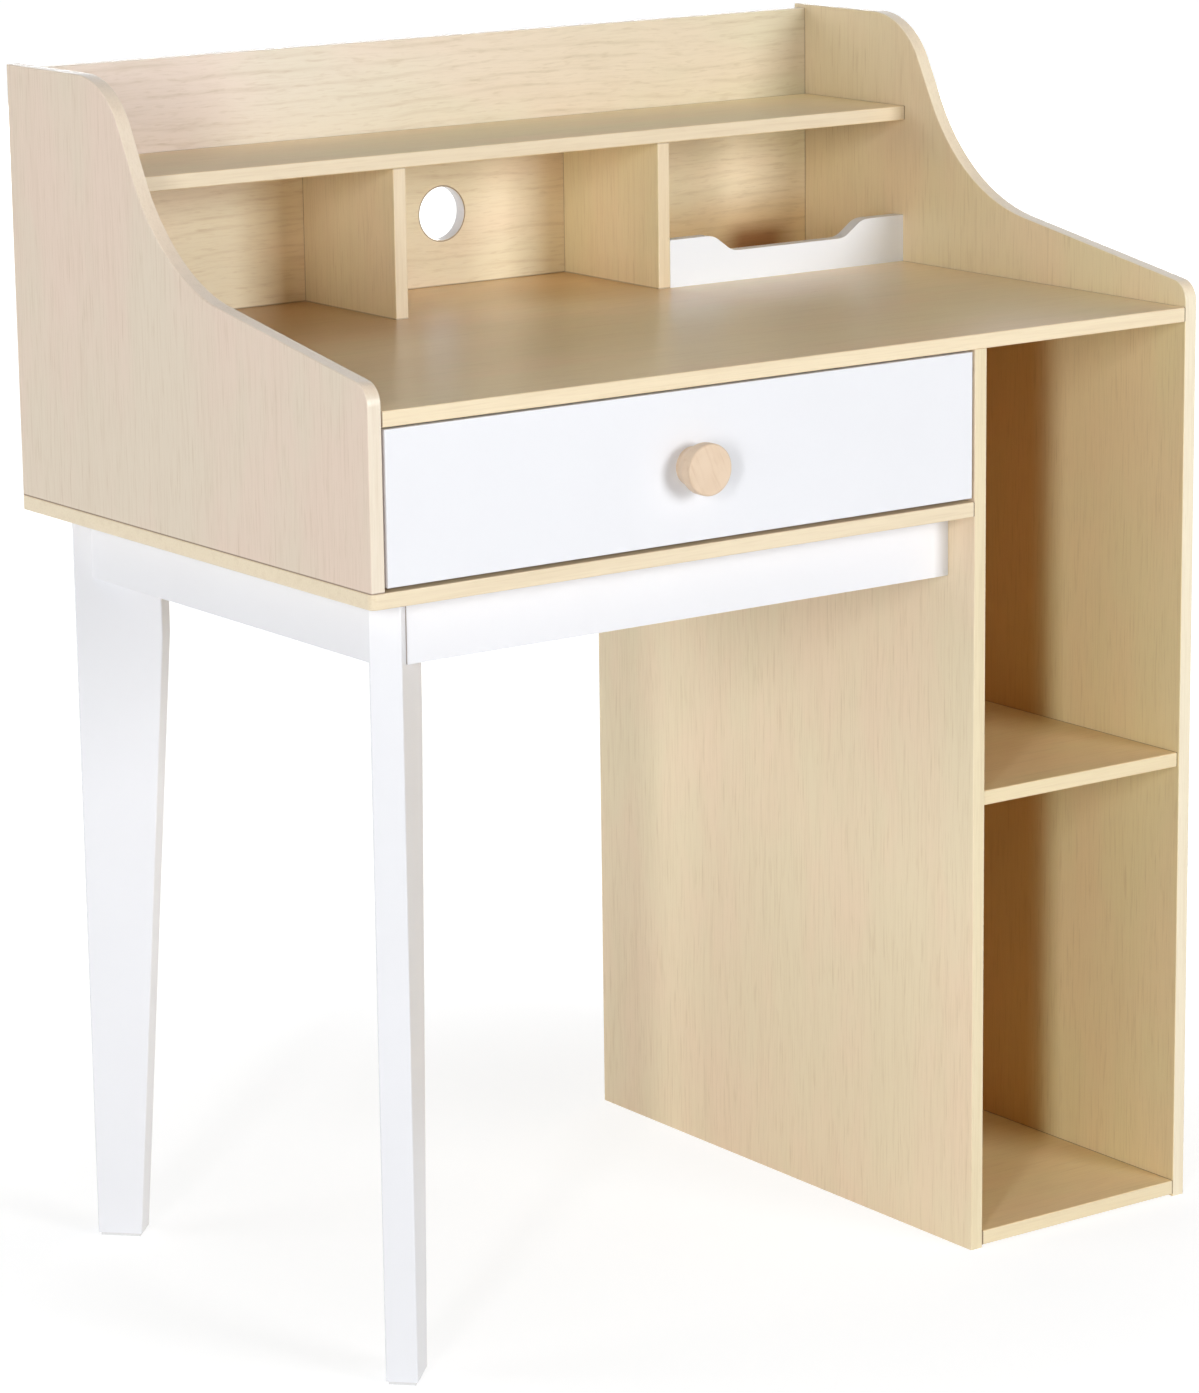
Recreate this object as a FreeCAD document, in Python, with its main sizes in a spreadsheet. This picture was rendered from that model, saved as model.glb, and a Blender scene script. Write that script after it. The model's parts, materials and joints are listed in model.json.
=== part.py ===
import FreeCAD, Part
# A study desk with a low hutch, a drawer on roller runners, an open bookcase at the right
# and a painted leg frame at the left. Millimetres. X runs to the right, Y to the rear, Z up.
# The origin is the middle of the footprint, on the floor.
import os
import Sketcher
from FreeCAD import Placement, Rotation, Vector

# Driving dimensions
SIZES = (
    ("desk_width", 800, "over the outer faces of the side panels"),
    ("desk_depth", 510, "of the side panels, front edge to rear edge"),
    ("board_thick", 12, "every laminated board"),
    ("writing_height", 754, "floor to the upper face of the desktop"),
    ("hutch_height", 212, "desktop to the top of the side panels"),
    ("drawer_bay_height", 121, "clear height between the base board and the desktop"),
    ("edge_round", 1, "eased edges of boards"),
    ("base_corner_radius", 6, "front left corner of the base board"),
    ("side_top_length", 151, "level top of a side panel, to where the S line falls"),
    ("sweep_run", 76, "level run of the steep part of the S line"),
    ("sweep_foot_rise", 67, "desktop to the foot of the steep part"),
    ("arm_rise", 18.5, "desktop to the front end of the S line"),
    ("crown_radius", 68, "upper bend of the S line"),
    ("sweep_radius", 168, "hollow bend of the S line"),
    ("arm_radius", 17, "front upper corner of a side panel"),
    ("back_inset", 3, "hutch back ahead of the side panels' rear edges"),
    ("back_drop", 3, "hutch back below the top of the side panels"),
    ("cubby_height", 122, "desktop to the underside of the hutch shelf"),
    ("hutch_shelf_depth", 138, "hutch shelf, front edge to hutch back"),
    ("hutch_divider_setback", 2, "dividers behind the hutch shelf's front edge"),
    ("cable_hole_diameter", 45, "through the hutch back"),
    ("letter_rail_height", 40, "at its two ends"),
    ("letter_rail_drop", 14.5, "depth of the dip in its upper edge"),
    ("letter_dip_mouth", 160, "width of the dip at the top"),
    ("letter_dip_floor", 120, "width of the dip at the bottom"),
    ("letter_dip_radius", 20, "bends of the dip"),
    ("bookcase_width", 209, "clear width between divider and right panel"),
    ("bookcase_shelf_setback", 2, "shelf behind the panels' front edges"),
    ("bookcase_floor_gap", 2, "floor to the underside of the bottom board"),
    ("hardboard_thick", 3, "bookcase back and drawer bottom"),
    ("bookcase_back_setback", 10, "hardboard back ahead of the panels' rear edges"),
    ("groove_depth", 5, "grooves that hold the hardboard"),
    ("groove_slack", 0.2, "room round the hardboard in its grooves"),
    ("frame_setback", 32, "outer faces of the rails inside the base board's edges"),
    ("rail_height", 52, "side rail and aprons"),
    ("rail_thick", 18, "side rail and aprons"),
    ("leg_setback", 30, "leg's outer edge from each edge of the base board"),
    ("leg_thick", 25, "leg board"),
    ("leg_top_width", 72, "leg board at the top"),
    ("leg_foot_width", 37, "leg board at the foot"),
    ("leg_shoulder", 100, "straight part of the leg below the base board"),
    ("leg_edge_round", 1.5, "eased long edges of the legs"),
    ("foot_pad_thick", 3, "plastic pad under a leg"),
    ("foot_pad_margin", 2, "leg's outline beyond the pad"),
    ("drawer_side_gap", 2.5, "drawer front to the panels beside it"),
    ("drawer_top_gap", 1.5, "drawer front to the desktop"),
    ("drawer_bottom_gap", 3, "drawer front to the base board"),
    ("drawer_rear_room", 63, "drawer box to the board that closes the bay"),
    ("drawer_head_room", 17, "drawer sides to the desktop"),
    ("drawer_bottom_rise", 10, "drawer bottom above the lower edge of the sides"),
    ("runner_room", 12.5, "between a drawer side and the panel beside it"),
    ("runner_front_gap", 3, "drawer front's rear face to the runners"),
    ("runner_rear_gap", 17, "runners to the rear end of the drawer sides"),
    ("runner_rise", 10, "base board to the cabinet runner"),
    ("runner_sheet", 1.2, "rolled steel of the runners"),
    ("runner_flange", 9, "width of the cabinet runner"),
    ("runner_foot", 10, "drawer runner's foot under the drawer side"),
    ("runner_lift_room", 1, "drawer runner to the cabinet runner's upper flange"),
    ("drawer_foot_rise", 8, "cabinet runner to the underside of the drawer sides"),
    ("roller_diameter", 19, "nylon rollers"),
    ("roller_width", 5, "nylon rollers"),
    ("roller_play", 0.4, "roller to the steel above and below it"),
    ("roller_side_play", 0.5, "roller to the steel and the head beside it"),
    ("roller_end_gap", 12, "roller's axle from the end of its runner"),
    ("rivet_diameter", 4.6, "roller rivet"),
    ("rivet_head_diameter", 9, "roller rivet's head"),
    ("rivet_head_thick", 1, "roller rivet's head"),
    ("rivet_play", 0.3, "roller's bore round its rivet"),
    ("knob_diameter", 40, "knob's head"),
    ("knob_base_diameter", 30, "knob where it meets the drawer front"),
    ("knob_length", 24, "drawer front to the knob's face"),
    ("knob_head_thick", 10, "straight rim of the knob's head"),
    ("knob_foot_thick", 3, "straight rim at the knob's base"),
    ("knob_edge_radius", 2, "knob's front edge"),
    ("knob_flare_radius", 8, "bends of the knob's side"),
    ("screw_diameter", 4, "knob screw"),
    ("screw_bite", 14, "knob screw inside the knob"),
    ("screw_head_diameter", 8, "knob screw's head"),
    ("screw_head_thick", 2.5, "knob screw's head"),
    ("screw_play", 0.2, "bores round the knob screw"),
    ("runner_bend", 1.8, "outer bends of the rolled steel"),
    ("runner_screw_diameter", 3.5, "screws that hold the runners"),
    ("runner_screw_bite", 10, "runner screw inside its board"),
    ("runner_screw_head_diameter", 7, "runner screw's head"),
    ("runner_screw_head_thick", 1.4, "runner screw's head"),
    ("runner_screw_margin", 45, "outer runner screws from the ends of the runner"),
    ("fixing_play", 0.3, "bores round cam locks, cam bolts and runner screws"),
    ("cam_diameter", 15, "cam lock"),
    ("cam_depth", 9.5, "cam lock"),
    ("cam_reach", 24, "middle of a cam lock from the end of its board"),
    ("cam_margin", 28, "cam locks from the front and rear edges of their board"),
    ("cam_slot_length", 9, "cross slot in a cam lock's face"),
    ("cam_slot_width", 1.6, "cross slot in a cam lock's face"),
    ("cam_slot_depth", 2.5, "cross slot in a cam lock's face"),
    ("cam_bolt_diameter", 5, "bolt between a cam lock and the next board"),
    ("cam_bolt_bite", 8, "cam bolt inside the next board"),
)

# Places worked out from the driving dimensions
PLACES = (
    ("left_face", "-Sizes.desk_width / 2"),
    ("right_face", "Sizes.desk_width / 2"),
    ("front_face", "(Sizes.knob_length - Sizes.desk_depth) / 2"),
    ("rear_face", "front_face + Sizes.desk_depth"),
    ("bay_left", "left_face + Sizes.board_thick"),
    ("case_right", "right_face - Sizes.board_thick"),
    ("case_left", "case_right - Sizes.bookcase_width"),
    ("bay_right", "case_left - Sizes.board_thick"),
    ("bay_width", "bay_right - bay_left"),
    ("bay_middle", "(bay_left + bay_right) / 2"),
    ("span", "case_right - bay_left"),
    ("desk_height", "Sizes.writing_height + Sizes.hutch_height"),
    ("desktop_under", "Sizes.writing_height - Sizes.board_thick"),
    ("base_height", "desktop_under - Sizes.drawer_bay_height"),
    ("base_under", "base_height - Sizes.board_thick"),
    ("sweep_foot_depth", "Sizes.desk_depth - Sizes.side_top_length - Sizes.sweep_run"),
    ("back_rear", "rear_face - Sizes.back_inset"),
    ("back_front", "back_rear - Sizes.board_thick"),
    ("hutch_front", "back_front - Sizes.hutch_shelf_depth"),
    ("cubby_front", "hutch_front + Sizes.hutch_divider_setback"),
    ("cubby_width", "(span - 2 * Sizes.board_thick) / 3"),
    ("hardboard_groove", "Sizes.hardboard_thick + Sizes.groove_slack"),
    ("case_back_rear", "rear_face - Sizes.bookcase_back_setback"),
    ("case_back_front", "case_back_rear - Sizes.hardboard_thick"),
    ("case_groove_front", "case_back_front - Sizes.groove_slack / 2"),
    ("case_floor", "Sizes.bookcase_floor_gap + Sizes.board_thick"),
    ("case_bay_height", "(desktop_under - case_floor - Sizes.board_thick) / 2"),
    ("case_groove_floor", "case_floor - Sizes.groove_depth"),
    ("case_back_height", "desktop_under - case_groove_floor"),
    ("hardboard_reach", "Sizes.groove_depth - Sizes.groove_slack"),
    ("rail_under", "base_under - Sizes.rail_height"),
    ("leg_half_slant", "Sizes.leg_thick / sqrt(2)"),
    ("leg_length", "base_under - Sizes.foot_pad_thick"),
    ("drawer_front_width", "bay_width - 2 * Sizes.drawer_side_gap"),
    ("drawer_front_height", "Sizes.drawer_bay_height - Sizes.drawer_top_gap - Sizes.drawer_bottom_gap"),
    ("drawer_front_under", "base_height + Sizes.drawer_bottom_gap"),
    ("drawer_front_rear", "front_face + Sizes.board_thick"),
    ("drawer_left", "bay_left + Sizes.runner_room"),
    ("drawer_right", "bay_right - Sizes.runner_room"),
    ("drawer_inner_width", "drawer_right - drawer_left - 2 * Sizes.board_thick"),
    ("drawer_box_depth", "back_front - drawer_front_rear - Sizes.drawer_rear_room"),
    ("drawer_inner_depth", "drawer_box_depth - Sizes.board_thick"),
    ("runner_length", "drawer_box_depth - Sizes.runner_front_gap - Sizes.runner_rear_gap"),
    ("runner_under", "base_height + Sizes.runner_rise"),
    ("runner_front", "drawer_front_rear + Sizes.runner_front_gap"),
    ("track_top", "runner_under + Sizes.runner_sheet"),
    ("roller_height", "track_top + Sizes.roller_play + Sizes.roller_diameter / 2"),
    ("flange_under", "roller_height + Sizes.roller_diameter / 2 + Sizes.roller_play"),
    ("flange_top", "flange_under + Sizes.runner_sheet"),
    ("runner_height", "flange_top + Sizes.runner_lift_room + Sizes.runner_sheet - runner_under"),
    ("drawer_under", "runner_under + Sizes.drawer_foot_rise"),
    ("drawer_foot_under", "drawer_under - Sizes.runner_sheet"),
    ("drawer_box_height", "desktop_under - Sizes.drawer_head_room - drawer_under"),
    ("drawer_floor", "drawer_under + Sizes.drawer_bottom_rise"),
    ("knob_height", "drawer_front_under + drawer_front_height / 2"),
    ("cabinet_axle", "runner_front + Sizes.roller_end_gap"),
    ("drawer_axle", "runner_front + runner_length - Sizes.roller_end_gap"),
    ("runner_screw_front", "runner_front + Sizes.runner_screw_margin"),
    ("runner_screw_spread", "runner_length - 2 * Sizes.runner_screw_margin"),
    ("runner_screw_height", "(drawer_under + flange_under) / 2"),
    ("runner_screw_bore", "Sizes.runner_screw_diameter + 2 * Sizes.fixing_play"),
    ("cam_bore", "Sizes.cam_diameter + 2 * Sizes.fixing_play"),
    ("cam_bolt_bore", "Sizes.cam_bolt_diameter + 2 * Sizes.fixing_play"),
    ("cam_bolt_reach", "Sizes.cam_reach - cam_bore / 2"),
    ("cam_bolt_length", "cam_bolt_reach + Sizes.cam_bolt_bite"),
)

doc = FreeCAD.newDocument("StudyDesk")


def fill_sheet(name, rows):
    """A sheet with one alias per row: the word, its cell and what it measures."""
    sheet = doc.addObject("Spreadsheet::Sheet", name)
    for number, (alias, content, *meaning) in enumerate(rows, 1):
        sheet.set(f"A{number}", alias)
        sheet.set(f"B{number}", str(content))
        sheet.setAlias(f"B{number}", alias)
        if meaning:
            sheet.set(f"C{number}", meaning[0])
    doc.recompute()
    return sheet


sizes = fill_sheet("Sizes", SIZES)
places = fill_sheet("Places", [(alias, "=" + rule) for alias, rule in PLACES])


def bind(item, **rules):
    """Binds properties of an object to sheet expressions."""
    for name, rule in rules.items():
        item.setExpression(name, rule)


spots = {}


def place(item, x, y, z, turn=Rotation()):
    """Puts an object's own origin at three sheet expressions, turned first."""
    item.Placement = Placement(Vector(), turn)
    spots[item.Name] = (x, y, z)
    for axis, rule in zip("xyz", (x, y, z)):
        item.setExpression(f"Placement.Base.{axis}", rule)


def new_body(label):
    item = doc.addObject("PartDesign::Body", label)
    item.Label = label
    return item


def board(label, length, depth, height, x, y, z):
    """A square-cut board, given by its three sizes and its left front lower corner."""
    panel = new_body(label)
    blank = panel.newObject("PartDesign::AdditiveBox", label + "_blank")
    bind(blank, Length=length, Width=depth, Height=height)
    place(panel, x, y, z)
    doc.recompute()
    return panel


def cut_slot(panel, length, depth, height, x="0", y="0", z="0"):
    """Cuts a square slot, placed in the board's own frame."""
    slot = panel.newObject("PartDesign::SubtractiveBox", panel.Label + "_slot")
    bind(slot, Length=length, Width=depth, Height=height)
    place(slot, x, y, z)
    doc.recompute()


def cut_bore(panel, diameter, length, x="0", y="0", z="0", turn=Rotation()):
    """Cuts a round bore that starts at a point of the board's own frame."""
    bore = panel.newObject("PartDesign::SubtractiveCylinder", panel.Label + "_bore")
    bind(bore, Radius=f"({diameter}) / 2", Height=length)
    place(bore, x, y, z, turn)
    doc.recompute()
    return bore


def repeat(panel, spread, count, across="", feature=None, axes=("Y_Axis", "X_Axis")):
    """Repeats one cut, or the body's whole shape, evenly over a spread; across adds a second row."""
    pattern = panel.newObject("PartDesign::LinearPattern", panel.Label + "_row")
    lines = [next(item for item in panel.Origin.OriginFeatures if item.Role == role) for role in axes]
    if feature:
        pattern.Originals = [feature]
    else:
        pattern.TransformMode = "Whole shape"
    pattern.Direction = (lines[0], [""])
    pattern.Occurrences = count
    bind(pattern, Length=spread)
    if across:
        pattern.Direction2 = (lines[1], [""])
        pattern.Occurrences2 = 2
        bind(pattern, Length2=across)
    panel.Tip = pattern
    doc.recompute()


def drill(label, diameter, length, spot, turn, spread, count, across="", axes=("Y_Axis", "X_Axis")):
    """Drills a row of bores into a finished board, given by a point of the desk."""
    panel = doc.getObject(label)
    own = [f"{rule} - ({base})" for rule, base in zip(spot, spots[label])]
    bore = cut_bore(panel, diameter, length, *own, turn)
    repeat(panel, spread, count, across, bore, axes)


TURN_TO_REAR = Rotation(Vector(1, 0, 0), -90)
TURN_TO_FRONT = Rotation(Vector(1, 0, 0), 90)
TURN_TO_RIGHT = Rotation(Vector(0, 1, 0), 90)
TURN_TO_LEFT = Rotation(Vector(0, 1, 0), -90)


def edges_along(feature, axis, first_share, second_share):
    """Names of a feature's edges along one axis, at two shares of its bounding box."""
    box = feature.Shape.BoundBox
    lows = dict(x=box.XMin, y=box.YMin, z=box.ZMin)
    spans = dict(x=box.XLength, y=box.YLength, z=box.ZLength)
    across = [letter for letter in "xyz" if letter != axis]
    wanted = [lows[letter] + share * spans[letter]
              for letter, share in zip(across, (first_share, second_share))]
    near = box.DiagonalLength / 1e6
    names = []
    for number, edge in enumerate(feature.Shape.Edges, 1):
        ends = [getattr(vertex.Point, letter) - goal
                for vertex in edge.Vertexes for letter, goal in zip(across, wanted)]
        if len(edge.Vertexes) == 2 and max(abs(miss) for miss in ends) < near:
            names.append(f"Edge{number}")
    return names


def edges_at(feature, letters, spot):
    """Names of a feature's straight edges that keep two coordinates all along."""
    near = feature.Shape.BoundBox.DiagonalLength / 1e6
    names = []
    for number, edge in enumerate(feature.Shape.Edges, 1):
        misses = [abs(getattr(vertex.Point, letter) - goal)
                  for vertex in edge.Vertexes for letter, goal in zip(letters, spot)]
        if len(edge.Vertexes) == 2 and max(misses) < near:
            names.append(f"Edge{number}")
    return names


def round_edges(panel, radius, names):
    """Rounds named edges of the body's newest feature."""
    feature = panel.newObject("PartDesign::Fillet", panel.Label + "_round")
    feature.Base = (panel.Group[-2], names)
    bind(feature, Radius=radius)
    doc.recompute()


def ease(panel, *edges, radius="Sizes.edge_round"):
    """Eases edges given as (axis, share, share) of the newest feature's box."""
    tip = panel.Tip
    names = [name for edge in edges for name in edges_along(tip, *edge)]
    round_edges(panel, radius, names)


RUNNER_SCREW_COUNT = 3
CAM_COUNT = 2
FRONT_LONG = (("x", 0, 0), ("x", 0, 1))
FRONT_TALL = (("z", 0, 0), ("z", 1, 0))
PLANE_LETTERS = {"XY_Plane": "xy", "XZ_Plane": "xz", "YZ_Plane": "yz"}


def outline(panel, role, corners):
    """A closed sketch on an origin plane; its corners are pairs of expressions, none below zero."""
    sketch = panel.newObject("Sketcher::SketchObject", panel.Label + "_outline")
    plane = next(item for item in panel.Origin.OriginFeatures if item.Role == role)
    sketch.AttachmentSupport = [(plane, "")]
    sketch.MapMode = "FlatFace"
    count = len(corners)
    ring = [Rotation(Vector(0, 0, 1), 360 * index / count).multVec(Vector(1, 0, 0))
            for index in range(count)]
    for index in range(count):
        sketch.addGeometry(Part.LineSegment(ring[index], ring[(index + 1) % count]))
    for index in range(count):
        sketch.addConstraint(Sketcher.Constraint("Coincident", index, 2, (index + 1) % count, 1))
    for index, corner in enumerate(corners):
        for kind, axis, rule in zip(("DistanceX", "DistanceY"), (-2, -1), corner):
            if rule == "0":
                sketch.addConstraint(Sketcher.Constraint("PointOnObject", index, 1, axis))
                continue
            row = sketch.addConstraint(Sketcher.Constraint(kind, -1, 1, index, 1, 1))
            name = f"{kind}{index}"
            sketch.renameConstraint(row, name)
            sketch.setExpression(f"Constraints.{name}", rule)
    doc.recompute()
    return sketch


def pad(panel, role, corners, length, **settings):
    """Pads an outline; returns the sketch, whose corners later bends are found by."""
    sketch = outline(panel, role, corners)
    feature = panel.newObject("PartDesign::Pad", panel.Label + "_pad")
    feature.Profile = sketch
    bind(feature, Length=length)
    for name, value in settings.items():
        setattr(feature, name, value)
    doc.recompute()
    return sketch


def bend_corners(panel, role, sketch, bends):
    """Rounds the edges that stand on the sketch's corners: pairs of corner numbers and a radius."""
    for numbers, radius in bends:
        spots = [sketch.Geometry[index].StartPoint for index in numbers]
        names = [name for spot in spots
                 for name in edges_at(panel.Tip, PLANE_LETTERS[role], (spot.x, spot.y))]
        round_edges(panel, radius, names)


def rim_edges(feature):
    """Names of the edges along the front and the S line of a side panel, on both its faces."""
    box = feature.Shape.BoundBox
    near = box.DiagonalLength / 1e6
    names = []
    for number, edge in enumerate(feature.Shape.Edges, 1):
        span = edge.BoundBox
        across = span.XLength > near
        below = span.ZMax < box.ZMin + near
        behind = span.YMin > box.YMax - near
        if not (across or below or behind):
            names.append(f"Edge{number}")
    return names


def side_panel(label, x, under):
    """An upright side whose upper edge falls in an S line from the hutch to the front."""
    panel = new_body(label)
    top = f"Places.desk_height - {under}"
    foot = f"Sizes.writing_height + Sizes.sweep_foot_rise - {under}"
    arm = f"Sizes.writing_height + Sizes.arm_rise - {under}"
    corners = (("0", "0"), ("Sizes.desk_depth", "0"), ("Sizes.desk_depth", top),
               ("Sizes.desk_depth - Sizes.side_top_length", top),
               ("Places.sweep_foot_depth", foot), ("0", arm))
    sketch = pad(panel, "YZ_Plane", corners, "Sizes.board_thick")
    bends = (((3,), "Sizes.crown_radius"), ((4,), "Sizes.sweep_radius"), ((5,), "Sizes.arm_radius"))
    bend_corners(panel, "YZ_Plane", sketch, bends)
    round_edges(panel, "Sizes.edge_round", rim_edges(panel.Tip))
    place(panel, x, "Places.front_face", under)
    return panel


def carcass():
    """The two sides, the desktop, the base board and the board that closes the drawer bay."""
    side_panel("left_side_panel", "Places.left_face", "Places.base_height")
    right = side_panel("right_side_panel", "Places.case_right", "0")
    cut_slot(right, "Sizes.groove_depth", "Places.hardboard_groove", "Places.case_back_height",
             y="Places.case_groove_front - Places.front_face", z="Places.case_groove_floor")
    desktop = board("desktop", "Places.span", "Places.back_rear - Places.front_face",
                    "Sizes.board_thick", "Places.bay_left", "Places.front_face", "Places.desktop_under")
    ease(desktop, *FRONT_LONG)
    base = board("base_board", "Places.bay_right - Places.left_face", "Sizes.desk_depth",
                 "Sizes.board_thick", "Places.left_face", "Places.front_face", "Places.base_under")
    ease(base, ("z", 0, 0), radius="Sizes.base_corner_radius")
    ease(base, *FRONT_LONG)
    board("drawer_bay_back", "Places.bay_width", "Sizes.board_thick", "Sizes.drawer_bay_height",
          "Places.bay_left", "Places.back_front", "Places.base_height")


def bookcase():
    """The open bookcase: divider, bottom board, shelf and a hardboard back in grooves."""
    divider = board("bookcase_divider_panel", "Sizes.board_thick", "Sizes.desk_depth",
                    "Places.desktop_under", "Places.bay_right", "Places.front_face", "0")
    cut_slot(divider, "Sizes.groove_depth", "Places.hardboard_groove", "Places.case_back_height",
             "Sizes.board_thick - Sizes.groove_depth",
             "Places.case_groove_front - Places.front_face", "Places.case_groove_floor")
    ease(divider, *FRONT_TALL)
    bottom = board("bookcase_bottom_board", "Sizes.bookcase_width", "Sizes.desk_depth",
                   "Sizes.board_thick", "Places.case_left", "Places.front_face",
                   "Sizes.bookcase_floor_gap")
    cut_slot(bottom, "Sizes.bookcase_width", "Places.hardboard_groove", "Sizes.groove_depth",
             y="Places.case_groove_front - Places.front_face",
             z="Sizes.board_thick - Sizes.groove_depth")
    ease(bottom, *FRONT_LONG)
    shelf_front = "Places.front_face + Sizes.bookcase_shelf_setback"
    shelf = board("bookcase_shelf", "Sizes.bookcase_width", f"Places.case_back_front - ({shelf_front})",
                  "Sizes.board_thick", "Places.case_left", shelf_front,
                  "Places.case_floor + Places.case_bay_height")
    ease(shelf, *FRONT_LONG)
    board("bookcase_back_panel", "Sizes.bookcase_width + 2 * Places.hardboard_reach",
          "Sizes.hardboard_thick", "Places.case_back_height",
          "Places.case_left - Places.hardboard_reach", "Places.case_back_front",
          "Places.case_groove_floor")


def hutch():
    """The hutch: back with its cable hole, shelf, two dividers and the white letter rail."""
    back = board("hutch_back_panel", "Places.span", "Sizes.board_thick",
                 "Places.desk_height - Sizes.back_drop - Sizes.writing_height",
                 "Places.bay_left", "Places.back_front", "Sizes.writing_height")
    cut_bore(back, "Sizes.cable_hole_diameter", "Sizes.board_thick", "Places.span / 2",
             "0", "Sizes.cubby_height / 2", TURN_TO_REAR)
    shelf = board("hutch_shelf", "Places.span", "Sizes.hutch_shelf_depth", "Sizes.board_thick",
                  "Places.bay_left", "Places.hutch_front", "Sizes.writing_height + Sizes.cubby_height")
    ease(shelf, *FRONT_LONG)
    for number, word in enumerate(("left", "right"), 1):
        steps = f"{number} * Places.cubby_width + {number - 1} * Sizes.board_thick"
        divider = board(f"hutch_divider_{word}", "Sizes.board_thick",
                        "Places.back_front - Places.cubby_front", "Sizes.cubby_height",
                        f"Places.bay_left + {steps}", "Places.cubby_front", "Sizes.writing_height")
        ease(divider, *FRONT_TALL)
    letter_rail()


def letter_rail():
    """A board on edge across the right cubby, its upper edge dipped in the middle."""
    rail = new_body("letter_rail")
    dip = "Sizes.letter_rail_height - Sizes.letter_rail_drop"
    mouth_left, mouth_right = (f"(Places.cubby_width {sign} Sizes.letter_dip_mouth) / 2" for sign in "-+")
    floor_left, floor_right = (f"(Places.cubby_width {sign} Sizes.letter_dip_floor) / 2" for sign in "-+")
    corners = (("0", "0"), ("Places.cubby_width", "0"), ("Places.cubby_width", "Sizes.letter_rail_height"),
               (mouth_right, "Sizes.letter_rail_height"), (floor_right, dip),
               (floor_left, dip), (mouth_left, "Sizes.letter_rail_height"),
               ("0", "Sizes.letter_rail_height"))
    sketch = pad(rail, "XZ_Plane", corners, "Sizes.board_thick", Reversed=True)
    bend_corners(rail, "XZ_Plane", sketch, (((3, 4, 5, 6), "Sizes.letter_dip_radius"),))
    place(rail, "Places.case_right - Places.cubby_width", "Places.cubby_front", "Sizes.writing_height")


def upright_edges(feature):
    """Names of a feature's edges that rise more than they run."""
    boxes = [edge.BoundBox for edge in feature.Shape.Edges]
    return [f"Edge{number}" for number, box in enumerate(boxes, 1)
            if box.ZLength > box.XLength + box.YLength]


def leg(word, y, turn):
    """A flat tapered board on edge along the corner's diagonal, and the pad under it."""
    post = new_body(f"{word}_leg")
    corners = (("0", "0"), ("Sizes.leg_foot_width", "0"),
               ("Sizes.leg_top_width", "Places.leg_length - Sizes.leg_shoulder"),
               ("Sizes.leg_top_width", "Places.leg_length"), ("0", "Places.leg_length"))
    pad(post, "XZ_Plane", corners, "Sizes.leg_thick", SideType="Symmetric")
    round_edges(post, "Sizes.leg_edge_round", upright_edges(post.Tip))
    spot = "Places.left_face + Sizes.leg_setback"
    place(post, spot, y, "Sizes.foot_pad_thick", turn)
    foot_pad = new_body(f"{word}_foot_pad")
    sole = foot_pad.newObject("PartDesign::AdditiveBox", f"{word}_sole")
    bind(sole, Length="Sizes.leg_foot_width - 2 * Sizes.foot_pad_margin",
         Width="Sizes.leg_thick - 2 * Sizes.foot_pad_margin", Height="Sizes.foot_pad_thick")
    place(sole, "Sizes.foot_pad_margin", "Sizes.foot_pad_margin - Sizes.leg_thick / 2", "0")
    place(foot_pad, spot, y, "0", turn)


def leg_frame():
    """Two diagonal legs and the rails between them, mitred where they meet the legs' flat sides."""
    leg("front", "Places.front_face + Sizes.leg_setback", Rotation(Vector(0, 0, 1), 45))
    leg("rear", "Places.rear_face - Sizes.leg_setback", Rotation(Vector(0, 0, 1), -45))
    outer_end = "Places.leg_half_slant"
    inner_end = "Places.leg_half_slant + Sizes.rail_thick"
    side_length = "Sizes.desk_depth - 2 * Sizes.frame_setback"
    side = new_body("side_rail")
    corners = (("0", outer_end), ("Sizes.rail_thick", inner_end),
               ("Sizes.rail_thick", f"{side_length} - ({inner_end})"), ("0", f"{side_length} - {outer_end}"))
    pad(side, "XY_Plane", corners, "Sizes.rail_height")
    place(side, "Places.left_face + Sizes.frame_setback", "Places.front_face + Sizes.frame_setback",
          "Places.rail_under")
    reach = "Places.bay_right - Places.left_face - Sizes.frame_setback"
    front = new_body("front_apron")
    corners = ((outer_end, "0"), (reach, "0"), (reach, "Sizes.rail_thick"), (inner_end, "Sizes.rail_thick"))
    pad(front, "XY_Plane", corners, "Sizes.rail_height")
    place(front, "Places.left_face + Sizes.frame_setback", "Places.front_face + Sizes.frame_setback",
          "Places.rail_under")
    rear = new_body("rear_apron")
    corners = ((inner_end, "0"), (reach, "0"), (reach, "Sizes.rail_thick"), (outer_end, "Sizes.rail_thick"))
    pad(rear, "XY_Plane", corners, "Sizes.rail_height")
    place(rear, "Places.left_face + Sizes.frame_setback",
          "Places.rear_face - Sizes.frame_setback - Sizes.rail_thick", "Places.rail_under")


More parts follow.
